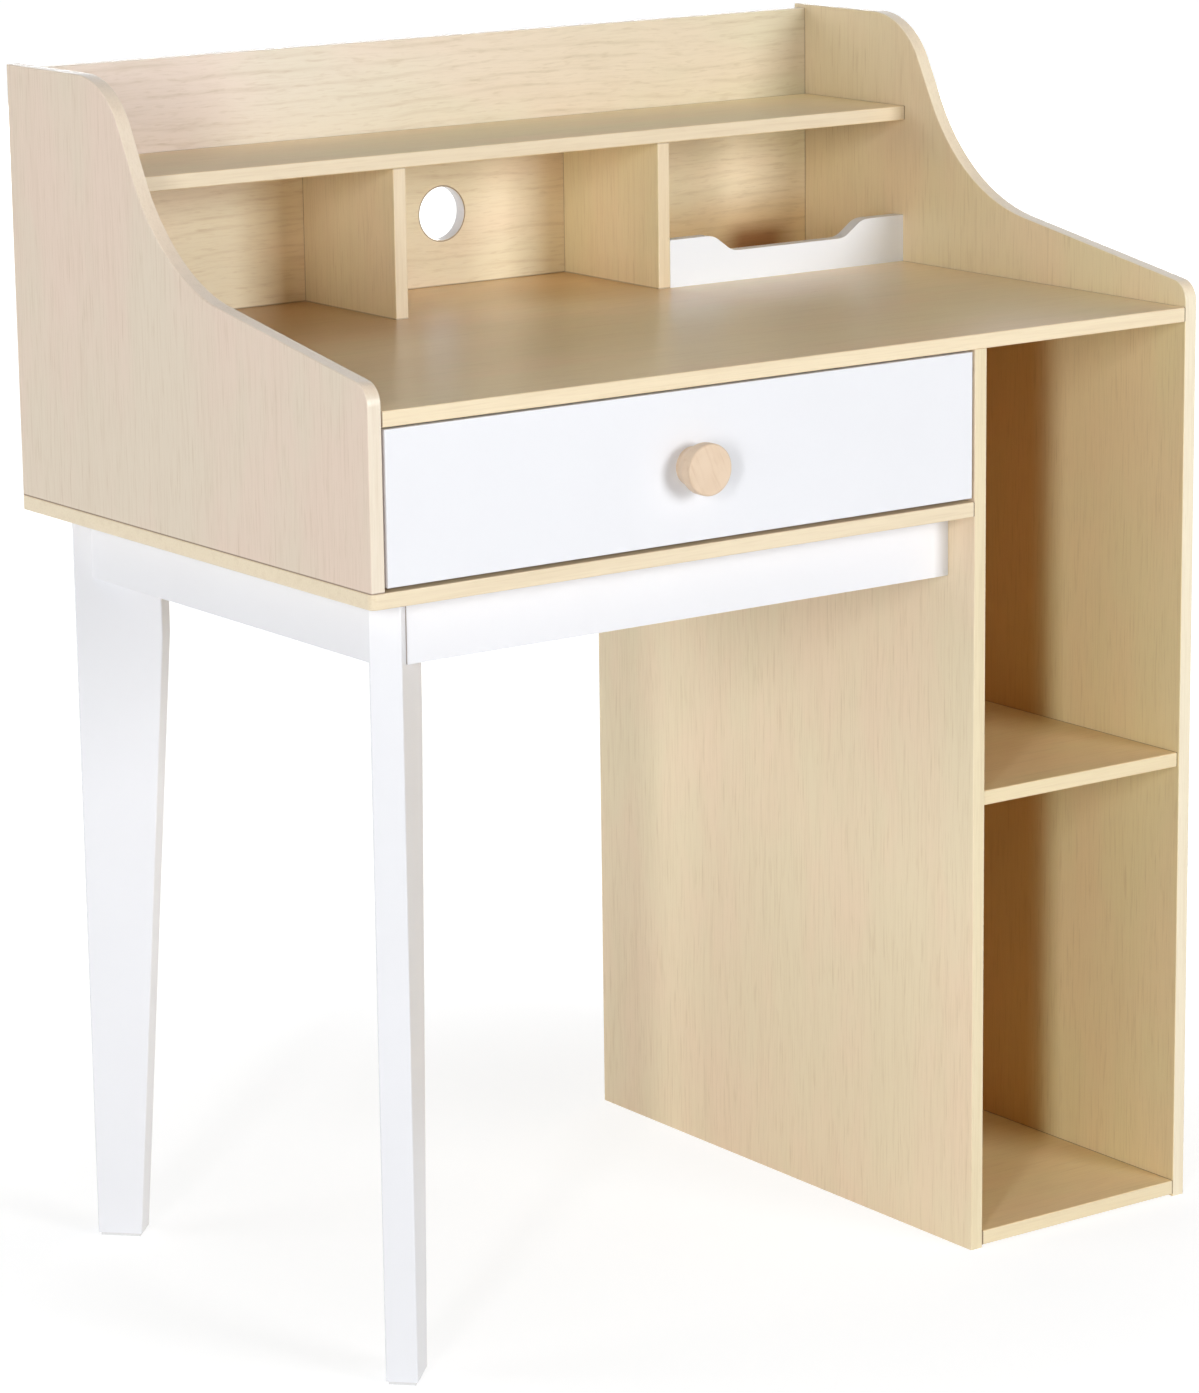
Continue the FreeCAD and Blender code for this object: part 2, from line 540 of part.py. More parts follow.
def drawer():
    """The drawer: a painted front, sides and back, and a hardboard bottom held in grooves."""
    groove_height = "Places.drawer_floor - Sizes.groove_slack / 2"
    front = board("drawer_front", "Places.drawer_front_width", "Sizes.board_thick",
                  "Places.drawer_front_height", "Places.bay_left + Sizes.drawer_side_gap",
                  "Places.front_face", "Places.drawer_front_under")
    inner_left = "Places.drawer_left + Sizes.board_thick"
    cut_slot(front, "Places.drawer_inner_width + 2 * Sizes.groove_depth", "Sizes.groove_depth",
             "Places.hardboard_groove",
             f"{inner_left} - Sizes.groove_depth - Places.bay_left - Sizes.drawer_side_gap",
             "Sizes.board_thick - Sizes.groove_depth", f"{groove_height} - Places.drawer_front_under")
    cut_bore(front, "Sizes.screw_diameter + 2 * Sizes.screw_play", "Sizes.board_thick",
             "Places.drawer_front_width / 2", "0", "Places.drawer_front_height / 2", TURN_TO_REAR)
    ease(front, *FRONT_LONG, *FRONT_TALL)
    for word, x, slot in (("left", "Places.drawer_left", "Sizes.board_thick - Sizes.groove_depth"),
                          ("right", "Places.drawer_right - Sizes.board_thick", "0")):
        side = board(f"drawer_side_{word}", "Sizes.board_thick", "Places.drawer_box_depth",
                     "Places.drawer_box_height", x, "Places.drawer_front_rear", "Places.drawer_under")
        cut_slot(side, "Sizes.groove_depth", "Places.drawer_box_depth", "Places.hardboard_groove",
                 slot, "0", f"{groove_height} - Places.drawer_under")
    back = board("drawer_back", "Places.drawer_inner_width", "Sizes.board_thick",
                 "Places.drawer_box_height", inner_left,
                 "Places.drawer_front_rear + Places.drawer_inner_depth", "Places.drawer_under")
    cut_slot(back, "Places.drawer_inner_width", "Sizes.groove_depth", "Places.hardboard_groove",
             z=f"{groove_height} - Places.drawer_under")
    board("drawer_bottom", "Places.drawer_inner_width + 2 * Places.hardboard_reach",
          "Places.drawer_inner_depth + 2 * Places.hardboard_reach", "Sizes.hardboard_thick",
          f"{inner_left} - Places.hardboard_reach",
          "Places.drawer_front_rear - Places.hardboard_reach", "Places.drawer_floor")


def revolve(panel, corners):
    """Turns an outline about the body's own Z axis."""
    sketch = outline(panel, "XZ_Plane", corners)
    feature = panel.newObject("PartDesign::Revolution", panel.Label + "_turned")
    feature.Profile = sketch
    feature.ReferenceAxis = (sketch, ["V_Axis"])
    feature.Angle = 360
    doc.recompute()


def circles_at(feature, radius, height):
    """Names of a feature's circular edges round the Z axis with a given radius and height."""
    near = feature.Shape.BoundBox.DiagonalLength / 1e6
    names = []
    for number, edge in enumerate(feature.Shape.Edges, 1):
        if not isinstance(edge.Curve, Part.Circle):
            continue
        if abs(edge.Curve.Radius - radius) < near and abs(edge.Curve.Center.z - height) < near:
            names.append(f"Edge{number}")
    return names


def knob():
    """A turned wooden knob, flared to its head, and the screw that holds it through the front."""
    turned = new_body("drawer_knob")
    head_start = "Sizes.knob_length - Sizes.knob_head_thick"
    bore = "Sizes.screw_diameter / 2 + Sizes.screw_play"
    corners = ((bore, "0"), ("Sizes.knob_base_diameter / 2", "0"),
               ("Sizes.knob_base_diameter / 2", "Sizes.knob_foot_thick"),
               ("Sizes.knob_diameter / 2", head_start), ("Sizes.knob_diameter / 2", "Sizes.knob_length"),
               ("0", "Sizes.knob_length"), ("0", "Sizes.screw_bite"), (bore, "Sizes.screw_bite"))
    revolve(turned, corners)
    rings = (("knob_base_diameter", sizes.knob_foot_thick, "Sizes.knob_flare_radius"),
             ("knob_diameter", sizes.knob_length - sizes.knob_head_thick, "Sizes.knob_flare_radius"),
             ("knob_diameter", sizes.knob_length, "Sizes.knob_edge_radius"))
    for alias, height, radius in rings:
        round_edges(turned, radius, circles_at(turned.Tip, sizes.get(alias) / 2, height))
    place(turned, "Places.bay_middle", "Places.front_face", "Places.knob_height", TURN_TO_FRONT)
    screw = new_body("knob_screw")
    shank = "Sizes.board_thick + Sizes.screw_bite"
    corners = (("0", "0"), ("Sizes.screw_head_diameter / 2", "0"),
               ("Sizes.screw_head_diameter / 2", "Sizes.screw_head_thick"),
               ("Sizes.screw_diameter / 2", "Sizes.screw_head_thick"),
               ("Sizes.screw_diameter / 2", f"Sizes.screw_head_thick + {shank}"),
               ("0", f"Sizes.screw_head_thick + {shank}"))
    revolve(screw, corners)
    place(screw, "Places.bay_middle", "Places.drawer_front_rear + Sizes.screw_head_thick",
          "Places.knob_height", TURN_TO_FRONT)


def mirrored(source):
    """The right-hand twin of a left-hand piece, about the middle of the drawer bay."""
    twin = doc.addObject("Part::Mirroring", source.Label.replace("left", "right"))
    twin.Label = source.Label.replace("left", "right")
    twin.Source = source
    twin.Normal = Vector(1, 0, 0)
    twin.setExpression("Base.x", "Places.bay_middle")
    doc.recompute()


def roller(label, x, y):
    """A nylon roller with a bore, its axis along X."""
    wheel = new_body(label)
    disc = wheel.newObject("PartDesign::AdditiveCylinder", label + "_disc")
    bind(disc, Radius="Sizes.roller_diameter / 2", Height="Sizes.roller_width")
    doc.recompute()
    cut_bore(wheel, "Sizes.rivet_diameter + 2 * Sizes.rivet_play", "Sizes.roller_width")
    place(wheel, x, y, "Places.roller_height", TURN_TO_RIGHT)
    return wheel


def rivet(label, shank, x, y, turn):
    """A roller rivet: a shank that stands on the steel and a flat head beyond the roller."""
    pin = new_body(label)
    corners = (("0", "0"), ("Sizes.rivet_diameter / 2", "0"), ("Sizes.rivet_diameter / 2", shank),
               ("Sizes.rivet_head_diameter / 2", shank),
               ("Sizes.rivet_head_diameter / 2", f"{shank} + Sizes.rivet_head_thick"),
               ("0", f"{shank} + Sizes.rivet_head_thick"))
    revolve(pin, corners)
    place(pin, x, y, "Places.roller_height", turn)
    return pin


def runners():
    """Roller runners: a channel on the panel with a roller in front, a folded angle on the drawer
    with a roller at its rear, and their right-hand twins."""
    channel = new_body("cabinet_runner_left")
    upper = "Places.runner_height - Sizes.runner_sheet"
    corners = (("0", "0"), ("Sizes.runner_flange", "0"), ("Sizes.runner_flange", "Sizes.runner_sheet"),
               ("Sizes.runner_sheet", "Sizes.runner_sheet"), ("Sizes.runner_sheet", upper),
               ("Sizes.runner_flange", upper), ("Sizes.runner_flange", "Places.runner_height"),
               ("0", "Places.runner_height"))
    sketch = pad(channel, "XZ_Plane", corners, "Places.runner_length", Reversed=True)
    bend_corners(channel, "XZ_Plane", sketch, (((0, 7), "Sizes.runner_bend"),))
    place(channel, "Places.bay_left", "Places.runner_front", "Places.runner_under")
    angle = new_body("drawer_runner_left")
    lip = "Sizes.runner_sheet + Sizes.roller_side_play"
    web_left = "Sizes.runner_room - Sizes.runner_sheet"
    web_right = "Sizes.runner_room"
    foot_right = "Sizes.runner_room + Sizes.runner_foot"
    flange_low = "Places.flange_under - Places.drawer_foot_under"
    flange_high = "Places.flange_top - Places.drawer_foot_under"
    corners = ((lip, flange_low), (web_left, flange_low), (web_left, "0"), (foot_right, "0"),
               (foot_right, "Sizes.runner_sheet"), (web_right, "Sizes.runner_sheet"),
               (web_right, flange_high), (lip, flange_high))
    sketch = pad(angle, "XZ_Plane", corners, "Places.runner_length", Reversed=True)
    bend_corners(angle, "XZ_Plane", sketch, (((2, 6), "Sizes.runner_bend"),))
    place(angle, "Places.bay_left", "Places.runner_front", "Places.drawer_foot_under")
    inner_face = "Places.bay_left + Sizes.runner_sheet"
    web_face = "Places.drawer_left - Sizes.runner_sheet"
    wheel_room = "Sizes.roller_width + 2 * Sizes.roller_side_play"
    pieces = [channel, angle]
    pieces.append(roller("cabinet_roller_left", f"{inner_face} + Sizes.roller_side_play",
                         "Places.cabinet_axle"))
    pieces.append(rivet("cabinet_rivet_left", wheel_room, inner_face, "Places.cabinet_axle", TURN_TO_RIGHT))
    pieces.append(roller("drawer_roller_left", f"{web_face} - Sizes.roller_side_play - Sizes.roller_width",
                         "Places.drawer_axle"))
    pieces.append(rivet("drawer_rivet_left", wheel_room, web_face, "Places.drawer_axle", TURN_TO_LEFT))
    for piece in pieces:
        mirrored(piece)


def runner_screws(label, tip, height, turn):
    """A row of runner screws: a shank from its tip to the steel, and a flat head on the steel."""
    screws = new_body(label)
    shank = "Sizes.runner_screw_bite + Sizes.runner_sheet"
    corners = (("0", "0"), ("Sizes.runner_screw_diameter / 2", "0"),
               ("Sizes.runner_screw_diameter / 2", shank), ("Sizes.runner_screw_head_diameter / 2", shank),
               ("Sizes.runner_screw_head_diameter / 2", f"{shank} + Sizes.runner_screw_head_thick"),
               ("0", f"{shank} + Sizes.runner_screw_head_thick"))
    revolve(screws, corners)
    repeat(screws, "Places.runner_screw_spread", RUNNER_SCREW_COUNT)
    place(screws, tip, "Places.runner_screw_front", height, turn)
    mirrored(screws)


def runner_fixings():
    """Screws through the runners into the panels and the drawer sides, with their bores."""
    row = ("Places.runner_screw_spread", RUNNER_SCREW_COUNT)
    bite = ("Places.runner_screw_bore", "Sizes.runner_screw_bite")
    sheet = ("Places.runner_screw_bore", "Sizes.runner_sheet")
    fixed = ("Places.runner_screw_front", "Places.roller_height")
    sliding = ("Places.runner_screw_front", "Places.runner_screw_height")
    web = "Places.drawer_left - Sizes.runner_sheet"
    drill("left_side_panel", *bite, ("Places.bay_left", *fixed), TURN_TO_LEFT, *row)
    drill("bookcase_divider_panel", *bite, ("Places.bay_right", *fixed), TURN_TO_RIGHT, *row)
    drill("cabinet_runner_left", *sheet, ("Places.bay_left", *fixed), TURN_TO_RIGHT, *row)
    drill("drawer_side_left", *bite, ("Places.drawer_left", *sliding), TURN_TO_RIGHT, *row)
    drill("drawer_side_right", *bite, ("Places.drawer_right", *sliding), TURN_TO_LEFT, *row)
    drill("drawer_runner_left", *sheet, (web, *sliding), TURN_TO_RIGHT, *row)
    runner_screws("cabinet_runner_screws_left", "Places.bay_left - Sizes.runner_screw_bite",
                  "Places.roller_height", TURN_TO_RIGHT)
    runner_screws("drawer_runner_screws_left", "Places.drawer_left + Sizes.runner_screw_bite",
                  "Places.runner_screw_height", TURN_TO_LEFT)


def cam_lock(label):
    """A cam lock: a disc with a cross slot in its lower face."""
    lock = new_body(label)
    disc = lock.newObject("PartDesign::AdditiveCylinder", label + "_disc")
    bind(disc, Radius="Sizes.cam_diameter / 2", Height="Sizes.cam_depth")
    doc.recompute()
    length, width = "Sizes.cam_slot_length", "Sizes.cam_slot_width"
    for long, wide in ((length, width), (width, length)):
        cut_slot(lock, long, wide, "Sizes.cam_slot_depth", f"-{long} / 2", f"-{wide} / 2")
    return lock


def cam_joint(label, left_panel, right_panel, left, right, front, rear, under):
    """Joins a level board to the uprights at its two ends: cam locks let into its underside, and
    bolts from them into the uprights."""
    row = (f"{rear} - ({front}) - 2 * Sizes.cam_margin", CAM_COUNT)
    first = f"{front} + Sizes.cam_margin"
    middle = f"{under} + Sizes.board_thick / 2"
    width = f"{right} - ({left})"
    cam_span = f"{width} - 2 * Sizes.cam_reach"
    drill(label, "Places.cam_bore", "Sizes.cam_depth", (f"{left} + Sizes.cam_reach", first, under),
          Rotation(), *row, cam_span)
    drill(label, "Places.cam_bolt_bore", "Places.cam_bolt_reach", (left, first, middle), TURN_TO_RIGHT,
          *row, f"{width} - Places.cam_bolt_reach")
    bite = ("Places.cam_bolt_bore", "Sizes.cam_bolt_bite")
    drill(left_panel, *bite, (left, first, middle), TURN_TO_LEFT, *row)
    drill(right_panel, *bite, (right, first, middle), TURN_TO_RIGHT, *row)
    locks = cam_lock(label + "_cam_locks")
    repeat(locks, *row, cam_span)
    place(locks, f"{left} + Sizes.cam_reach", first, under)
    bolts = new_body(label + "_cam_bolts")
    rod = bolts.newObject("PartDesign::AdditiveCylinder", label + "_rod")
    bind(rod, Radius="Sizes.cam_bolt_diameter / 2", Height="Places.cam_bolt_length")
    rod.Placement = Placement(Vector(), TURN_TO_RIGHT)
    doc.recompute()
    repeat(bolts, *row, f"{width} + Sizes.cam_bolt_bite - Places.cam_bolt_reach")
    place(bolts, f"{left} - Sizes.cam_bolt_bite", first, middle)


def drawer_joint():
    """Joins the drawer front to the drawer sides: cam locks let into the sides' inner faces, and bolts
    from them into the front."""
    row = ("Places.drawer_box_height - 2 * Sizes.cam_margin", CAM_COUNT)
    upwards = ("Z_Axis", "X_Axis")
    height = "Places.drawer_under + Sizes.cam_margin"
    depth = "Places.drawer_front_rear + Sizes.cam_reach"
    half = "Sizes.board_thick / 2"
    left_inner = "Places.drawer_left + Sizes.board_thick"
    right_inner = "Places.drawer_right - Sizes.board_thick"
    cam = ("Places.cam_bore", "Sizes.cam_depth")
    drill("drawer_side_left", *cam, (left_inner, depth, height), TURN_TO_LEFT, *row, axes=upwards)
    drill("drawer_side_right", *cam, (right_inner, depth, height), TURN_TO_RIGHT, *row, axes=upwards)
    reach = ("Places.cam_bolt_bore", "Places.cam_bolt_reach")
    drill("drawer_side_left", *reach, (f"Places.drawer_left + {half}", "Places.drawer_front_rear", height),
          TURN_TO_REAR, *row, axes=upwards)
    drill("drawer_side_right", *reach, (f"Places.drawer_right - {half}", "Places.drawer_front_rear", height),
          TURN_TO_REAR, *row, axes=upwards)
    drill("drawer_front", "Places.cam_bolt_bore", "Sizes.cam_bolt_bite",
          (f"Places.drawer_left + {half}", "Places.drawer_front_rear", height), TURN_TO_FRONT, *row,
          "Places.drawer_right - Places.drawer_left - Sizes.board_thick", axes=upwards)
    locks = cam_lock("drawer_cam_locks_left")
    repeat(locks, *row, axes=("X_Axis", "Y_Axis"))
    place(locks, left_inner, depth, height, TURN_TO_LEFT)
    mirrored(locks)
    bolts = new_body("drawer_cam_bolts_left")
    rod = bolts.newObject("PartDesign::AdditiveCylinder", "drawer_rod")
    bind(rod, Radius="Sizes.cam_bolt_diameter / 2", Height="Places.cam_bolt_length")
    rod.Placement = Placement(Vector(), TURN_TO_REAR)
    doc.recompute()
    repeat(bolts, *row, axes=upwards)
    place(bolts, f"Places.drawer_left + {half}", "Places.drawer_front_rear - Sizes.cam_bolt_bite", height)
    mirrored(bolts)


def fixings():
    """Every screw, cam lock and cam bolt that holds the boards and the runners."""
    runner_fixings()
    cam_joint("desktop", "left_side_panel", "right_side_panel", "Places.bay_left", "Places.case_right",
              "Places.front_face", "Places.back_rear", "Places.desktop_under")
    cam_joint("hutch_shelf", "left_side_panel", "right_side_panel", "Places.bay_left", "Places.case_right",
              "Places.hutch_front", "Places.back_front", "Sizes.writing_height + Sizes.cubby_height")
    cam_joint("bookcase_shelf", "bookcase_divider_panel", "right_side_panel", "Places.case_left",
              "Places.case_right", "Places.front_face + Sizes.bookcase_shelf_setback",
              "Places.case_back_front", "Places.case_floor + Places.case_bay_height")
    drawer_joint()


def sub_parts():
    """Every finished piece: the bodies and the mirrored twins."""
    return [item for item in doc.Objects if item.TypeId in ("PartDesign::Body", "Part::Mirroring")]


def write_parts():
    """Checks every object and shape, then writes one file per piece."""
    doc.recompute()
    failed = [item.Label for item in doc.Objects if {"Invalid", "Error"} & set(item.State)]
    failed += [item.Label for item in sub_parts() if item.Shape.isNull() or not item.Shape.isValid()]
    if failed:
        raise RuntimeError("failed: " + ", ".join(failed))
    os.makedirs("parts", exist_ok=True)
    for item in sub_parts():
        item.Shape.exportStep(os.path.join("parts", item.Label + ".step"))


carcass()
bookcase()
hutch()
leg_frame()
drawer()
knob()
runners()
fixings()
write_parts()
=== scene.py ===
import json
import math

import bpy
import numpy as np
from bpy.props import FloatProperty, FloatVectorProperty, PointerProperty
from mathutils import Matrix, Vector


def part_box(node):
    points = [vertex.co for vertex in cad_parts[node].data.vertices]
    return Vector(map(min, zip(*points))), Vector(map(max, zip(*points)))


bl_info = {
    "name": "Study desk finishes",
    "version": (1, 0, 0),
    "blender": (4, 5, 0),
    "location": "View3D > Sidebar > Desk",
    "description": "Laminate, lacquer and hardware finishes of a study desk with a hutch, and its studio",
    "category": "Object",
}

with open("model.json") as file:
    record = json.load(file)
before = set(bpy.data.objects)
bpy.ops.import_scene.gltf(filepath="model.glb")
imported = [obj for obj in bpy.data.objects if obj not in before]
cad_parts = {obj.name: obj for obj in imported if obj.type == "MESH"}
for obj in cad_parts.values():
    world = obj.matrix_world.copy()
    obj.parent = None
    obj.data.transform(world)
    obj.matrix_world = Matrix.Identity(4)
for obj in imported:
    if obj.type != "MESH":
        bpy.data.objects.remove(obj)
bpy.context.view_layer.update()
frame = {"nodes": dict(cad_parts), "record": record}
NODES = frame["nodes"]

# Boards of the laminate: which axis of the desk the board's directions across, thin and along take
SIDE = dict(across="Y", thin="X", along="Z")
UPRIGHT = dict(across="Z", thin="Y", along="X")
LEVEL = dict(across="Y", thin="Z", along="X")
RUNNING = dict(across="Z", thin="X", along="Y")
STRAIGHT_BOARDS = {
    "left_side_panel": SIDE,
    "right_side_panel": SIDE,
    "bookcase_divider_panel": SIDE,
    "hutch_divider_left": SIDE,
    "hutch_divider_right": SIDE,
    "base_board": LEVEL,
    "bookcase_shelf": LEVEL,
    "bookcase_bottom_board": LEVEL,
    "hutch_shelf": LEVEL,
    "desktop": LEVEL,
}
CROWN_BOARDS = {
    "hutch_back_panel": UPRIGHT,
    "drawer_bay_back": UPRIGHT,
}
DRAWER_BOARDS = {
    "drawer_side_left": RUNNING,
    "drawer_side_right": RUNNING,
    "drawer_back": UPRIGHT,
}
HARDBOARDS = {
    "bookcase_back_panel": dict(across="X", thin="Y", along="Z"),
    "drawer_bottom": LEVEL,
}
# The hardboards' numbers, which move the grain on from board to board, start here
FIRST_HARDBOARD = 31
WHITE_PIECES = ("letter_rail", "front_leg", "rear_leg", "side_rail", "front_apron", "rear_apron",
                "drawer_front")
STEEL_WORDS = ("runner", "rivet", "screw", "cam_")
STEEL_PIECES = tuple(name for name in NODES if any(word in name for word in STEEL_WORDS))
NYLON_PIECES = tuple(name for name in NODES if "roller" in name)
FOOT_PADS = ("front_foot_pad", "rear_foot_pad")
CABLE_HOLE = next(mount for mount in frame["record"]["mounts"] if mount["name"] == "cable_hole")

# How far the colour of a piece departs from that of its finish: partly the piece's own tone and partly
# painted light and shade, which lightens, darkens or tints the whole piece
PLAIN_TONE = (1.0, 1.0, 1.0)
BOARD_TONES_AND_PAINTED_LIGHT = {
    "left_side_panel": (0.920, 0.940, 1.110),
    "right_side_panel": (1.020, 1.035, 0.985),
    "hutch_back_panel": (0.990, 1.040, 1.135),
    "hutch_divider_left": (1.050, 1.090, 1.050),
    "hutch_divider_right": (1.050, 1.090, 1.050),
    "bookcase_divider_panel": (1.040, 1.060, 1.100),
    "hutch_shelf": (1.050, 1.040, 0.940),
    "letter_rail": (1.025, 1.055, 1.085),
    "desktop": (1.050, 1.010, 0.920),
    "bookcase_shelf": (1.090, 1.020, 0.850),
    "bookcase_bottom_board": (1.160, 1.120, 0.960),
}
# How far the banded edges of a board depart from the band's own colour: partly their own tone and partly
# painted light and shade over the whole band
BAND_TONES_AND_PAINTED_LIGHT = {
    "left_side_panel": (1.000, 1.040, 1.190),
    "right_side_panel": (1.060, 1.110, 1.180),
    "bookcase_divider_panel": (0.985, 0.995, 0.940),
    "desktop": (1.050, 1.040, 1.010),
    "hutch_shelf": (0.950, 0.950, 0.960),
    "hutch_divider_left": (0.960, 0.950, 0.960),
    "hutch_divider_right": (0.950, 0.930, 0.910),
    "hutch_back_panel": (0.960, 0.960, 1.050),
    "bookcase_shelf": (1.000, 0.985, 0.890),
    "bookcase_bottom_board": (1.000, 1.000, 0.940),
}
# Boards with a sheen of their own
BOARD_ROUGHNESS = {"desktop": 0.28}


def middle(node):
    """The middle of a node's box: half the sum of its corners."""
    low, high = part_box(node)
    return (low + high) / 2


# What the painted light and shade of BOARD_SHADES is measured from: an axis and the level on it
DESK_LOW, DESK_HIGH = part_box("desktop")
MARKS = {
    "floor": ("Z", 0.0),
    "desk_underside": ("Z", DESK_LOW.z),
    "desk_top": ("Z", DESK_HIGH.z),
    "shelf": ("Z", middle("hutch_shelf").z),
    "front": ("Y", DESK_LOW.y),
    "centre": ("X", 0.0),
    "left_divider": ("X", middle("hutch_divider_left").x),
    "right_divider": ("X", middle("hutch_divider_right").x),
    "right_panel": ("X", DESK_HIGH.x),
}
# Changes that keep the painted light and shade to one part of the desk, at the boards between the parts
UNDER_DESK = ("desk_underside", 0.001, -0.001)
ABOVE_SHELF = ("shelf", -0.002, 0.002)
BELOW_SHELF = ("shelf", 0.002, -0.002)
LEFT_CUBBY = ("left_divider", 0.002, -0.002)
MIDDLE_CUBBY = ("right_divider", 0.002, -0.002)
RIGHT_CUBBY = ("right_divider", -0.002, 0.002)
# The part of the light and shade in the bookcase, in the hutch and on the desktop that is laid on as colour:
# the side that the face looks to, then for each change what red, green and blue are multiplied by, and the
# marks from which it is measured, each with the distances at which it starts and is full, in metres
BOARD_SHADES = {
    "right_side_panel": (
        "-X",
        ((0.780, 0.520, 0.280), ("front", 0.153, 0.193), UNDER_DESK),
        ((1.010, 1.010, 0.930), UNDER_DESK),
        ((0.890, 0.880, 0.915), ("desk_top", 0.071, 0.116)),
    ),
    "bookcase_divider_panel": ("-X", ((0.960, 0.935, 0.910), ("floor", 0.450, 0.050))),
    "hutch_back_panel": (
        "-Y",
        ((0.900, 0.930, 0.925), ("centre", -0.400, 0.400), ABOVE_SHELF),
        ((1.050, 1.070, 1.070), BELOW_SHELF),
        ((0.985, 1.000, 1.170), ("centre", 0.250, -0.400), ABOVE_SHELF),
        ((1.120, 1.040, 0.940), ("left_divider", -0.0837, -0.0087), LEFT_CUBBY, BELOW_SHELF),
        ((0.980, 0.920, 0.830), ("right_divider", -0.0463, -0.0093), MIDDLE_CUBBY, BELOW_SHELF),
        ((1.120, 1.150, 1.130), RIGHT_CUBBY, BELOW_SHELF),
        ((0.880, 0.760, 0.620), ("desk_top", 0.061, 0.021), RIGHT_CUBBY),
        ((0.830, 0.790, 0.750), ("right_panel", -0.078, -0.126), RIGHT_CUBBY, BELOW_SHELF),
        ((0.480, 0.310, 0.220), ("desk_top", 0.031, 0.010), ("right_panel", -0.103, -0.068),
         ("right_panel", -0.003, -0.043)),
    ),
    "desktop": (
        "+Z",
        ((0.960, 0.900, 0.800), ("front", 0.303, 0.463)),
        ((0.890, 0.840, 0.780), ("front", 0.273, 0.373), ("left_divider", 0.0113, -0.0487)),
        ((0.720, 0.630, 0.550), ("front", 0.213, 0.343), ("centre", -0.020, -0.160)),
        ((1.070, 1.070, 1.080), ("front", 0.183, 0.063)),
        ((0.880, 0.790, 0.700), ("front", 0.283, 0.363), ("centre", -0.040, 0.080),
         ("right_divider", 0.0187, -0.0033)),
    ),
}
# How far a surface faces one way where it starts to count, and where it counts in full
FACING = (0.50, 0.90)
EDGE_FACING = (0.75, 0.45)
RIM_FACING = (0.20, 0.75)

# The ends of each board that butt against a neighbour, as the side of its box
BOARD_JOINTS = {
    "left_side_panel": ("-Z",),
    "hutch_back_panel": ("-X", "+X", "-Z"),
    "hutch_shelf": ("-X", "+X", "+Y"),
    "hutch_divider_left": ("+Y", "-Z", "+Z"),
    "hutch_divider_right": ("+Y", "-Z", "+Z"),
    "desktop": ("-X", "+X"),
    "bookcase_shelf": ("-X", "+X"),
    "bookcase_bottom_board": ("-X", "+X"),
    "base_board": ("+X",),
    "front_apron": ("-X",),
}
# Width of a joint line in metres, its dark core as a share of that, and how dark the lines are: those of
# the painted apron and some in the hutch are fainter
JOINT_GAP = 0.0014
JOINT_CORE = 0.4
JOINT_SHARE = 0.85
PAINTED_JOINT_SHARE = 0.80
FAINT_JOINT_SHARES = {"hutch_back_panel": 0.50, "hutch_divider_left": 0.50, "hutch_divider_right": 0.50}

# The cable hole's lining: where its colour ends and where its dark rim starts, in metres past the hole's
# radius, then its white as a share of the lacquer's, and how dark the rim is
LINING_REACH = (0.0016, 0.0008)
LINING_RIM = (0.0001, 0.0004)
LINING_WHITE = 1.12
LINING_RIM_SHARE = 0.80
MILLIMETRES_IN_METRE = 1000

# Noises squeezed along the grain: changes per metre across and along the piece, detail and roughness
GRAIN_NOISES = {
    "bend": (11.0, 3.5, 2.0, 0.50),
    "crown_bend": (11.0, 8.0, 2.0, 0.50),
    "fine": (640.0, 22.0, 2.0, 0.60),
    "pores": (400.0, 24.0, 2.0, 0.55),
    "streaks": (120.0, 5.0, 3.0, 0.55),
    "drift": (9.0, 4.0, 3.0, 0.60),
    "sweep": (6.0, 2.2, 1.0, 0.50),
    "hardboard_lines": (420.0, 10.0, 3.0, 0.60),
    "fibre": (900.0, 900.0, 2.0, 0.50),
    "beech": (260.0, 24.0, 3.0, 0.60),
    "rolled": (900.0, 25.0, 3.0, 0.50),
}
# Even noises: changes per metre and detail, with one roughness for all
EVEN_NOISES = {
    "lacquer_cloud": (6.0, 3.0),
    "lacquer_peel": (900.0, 2.0),
    "beech_cloud": (60.0, 2.0),
    "steel_cloud": (45.0, 4.0),
    "nylon": (140.0, 3.0),
    "pad_grit": (700.0, 3.0),
    "floor": (30.0, 3.0),
}
EVEN_ROUGHNESS = 0.5
# The value that every noise keeps round
NOISE_MEAN = 0.5
# Marks that a noise makes: the values at which a mark starts and is full, and how strong it is
NOISE_MARKS = {
    "fine": (0.46, 0.72, 0.19),
    "streaks": (0.46, 0.72, 0.08),
    "pores": (0.56, 0.70, 1.0),
    "drift": (0.38, 0.66, 1.0),
    "rings": (0.55, 1.00, 0.28),
    "ring_breaks": (0.38, 0.62, 1.0),
    "band_fine": (0.42, 0.75, 0.20),
    "band_streaks": (0.45, 0.72, 0.16),
    "lacquer_cloud": (0.35, 0.75, 0.50),
    "beech_flecks": (0.50, 0.74, 0.26),
    "beech_cloud": (0.40, 0.70, 0.12),
    "hardboard_lines": (0.42, 0.75, 0.25),
    "steel_cloud": (0.38, 0.70, 0.60),
}
# Bump of each finish: its strength, and its height in metres
BUMPS = {
    "laminate": (0.10, 0.0004),
    "lacquer": (0.06, 0.0003),
    "beech": (0.15, 0.0003),
    "hardboard": (0.10, 0.0003),
    "steel": (0.08, 0.0002),
    "nylon": (0.10, 0.0003),
    "pads": (0.20, 0.0003),
}
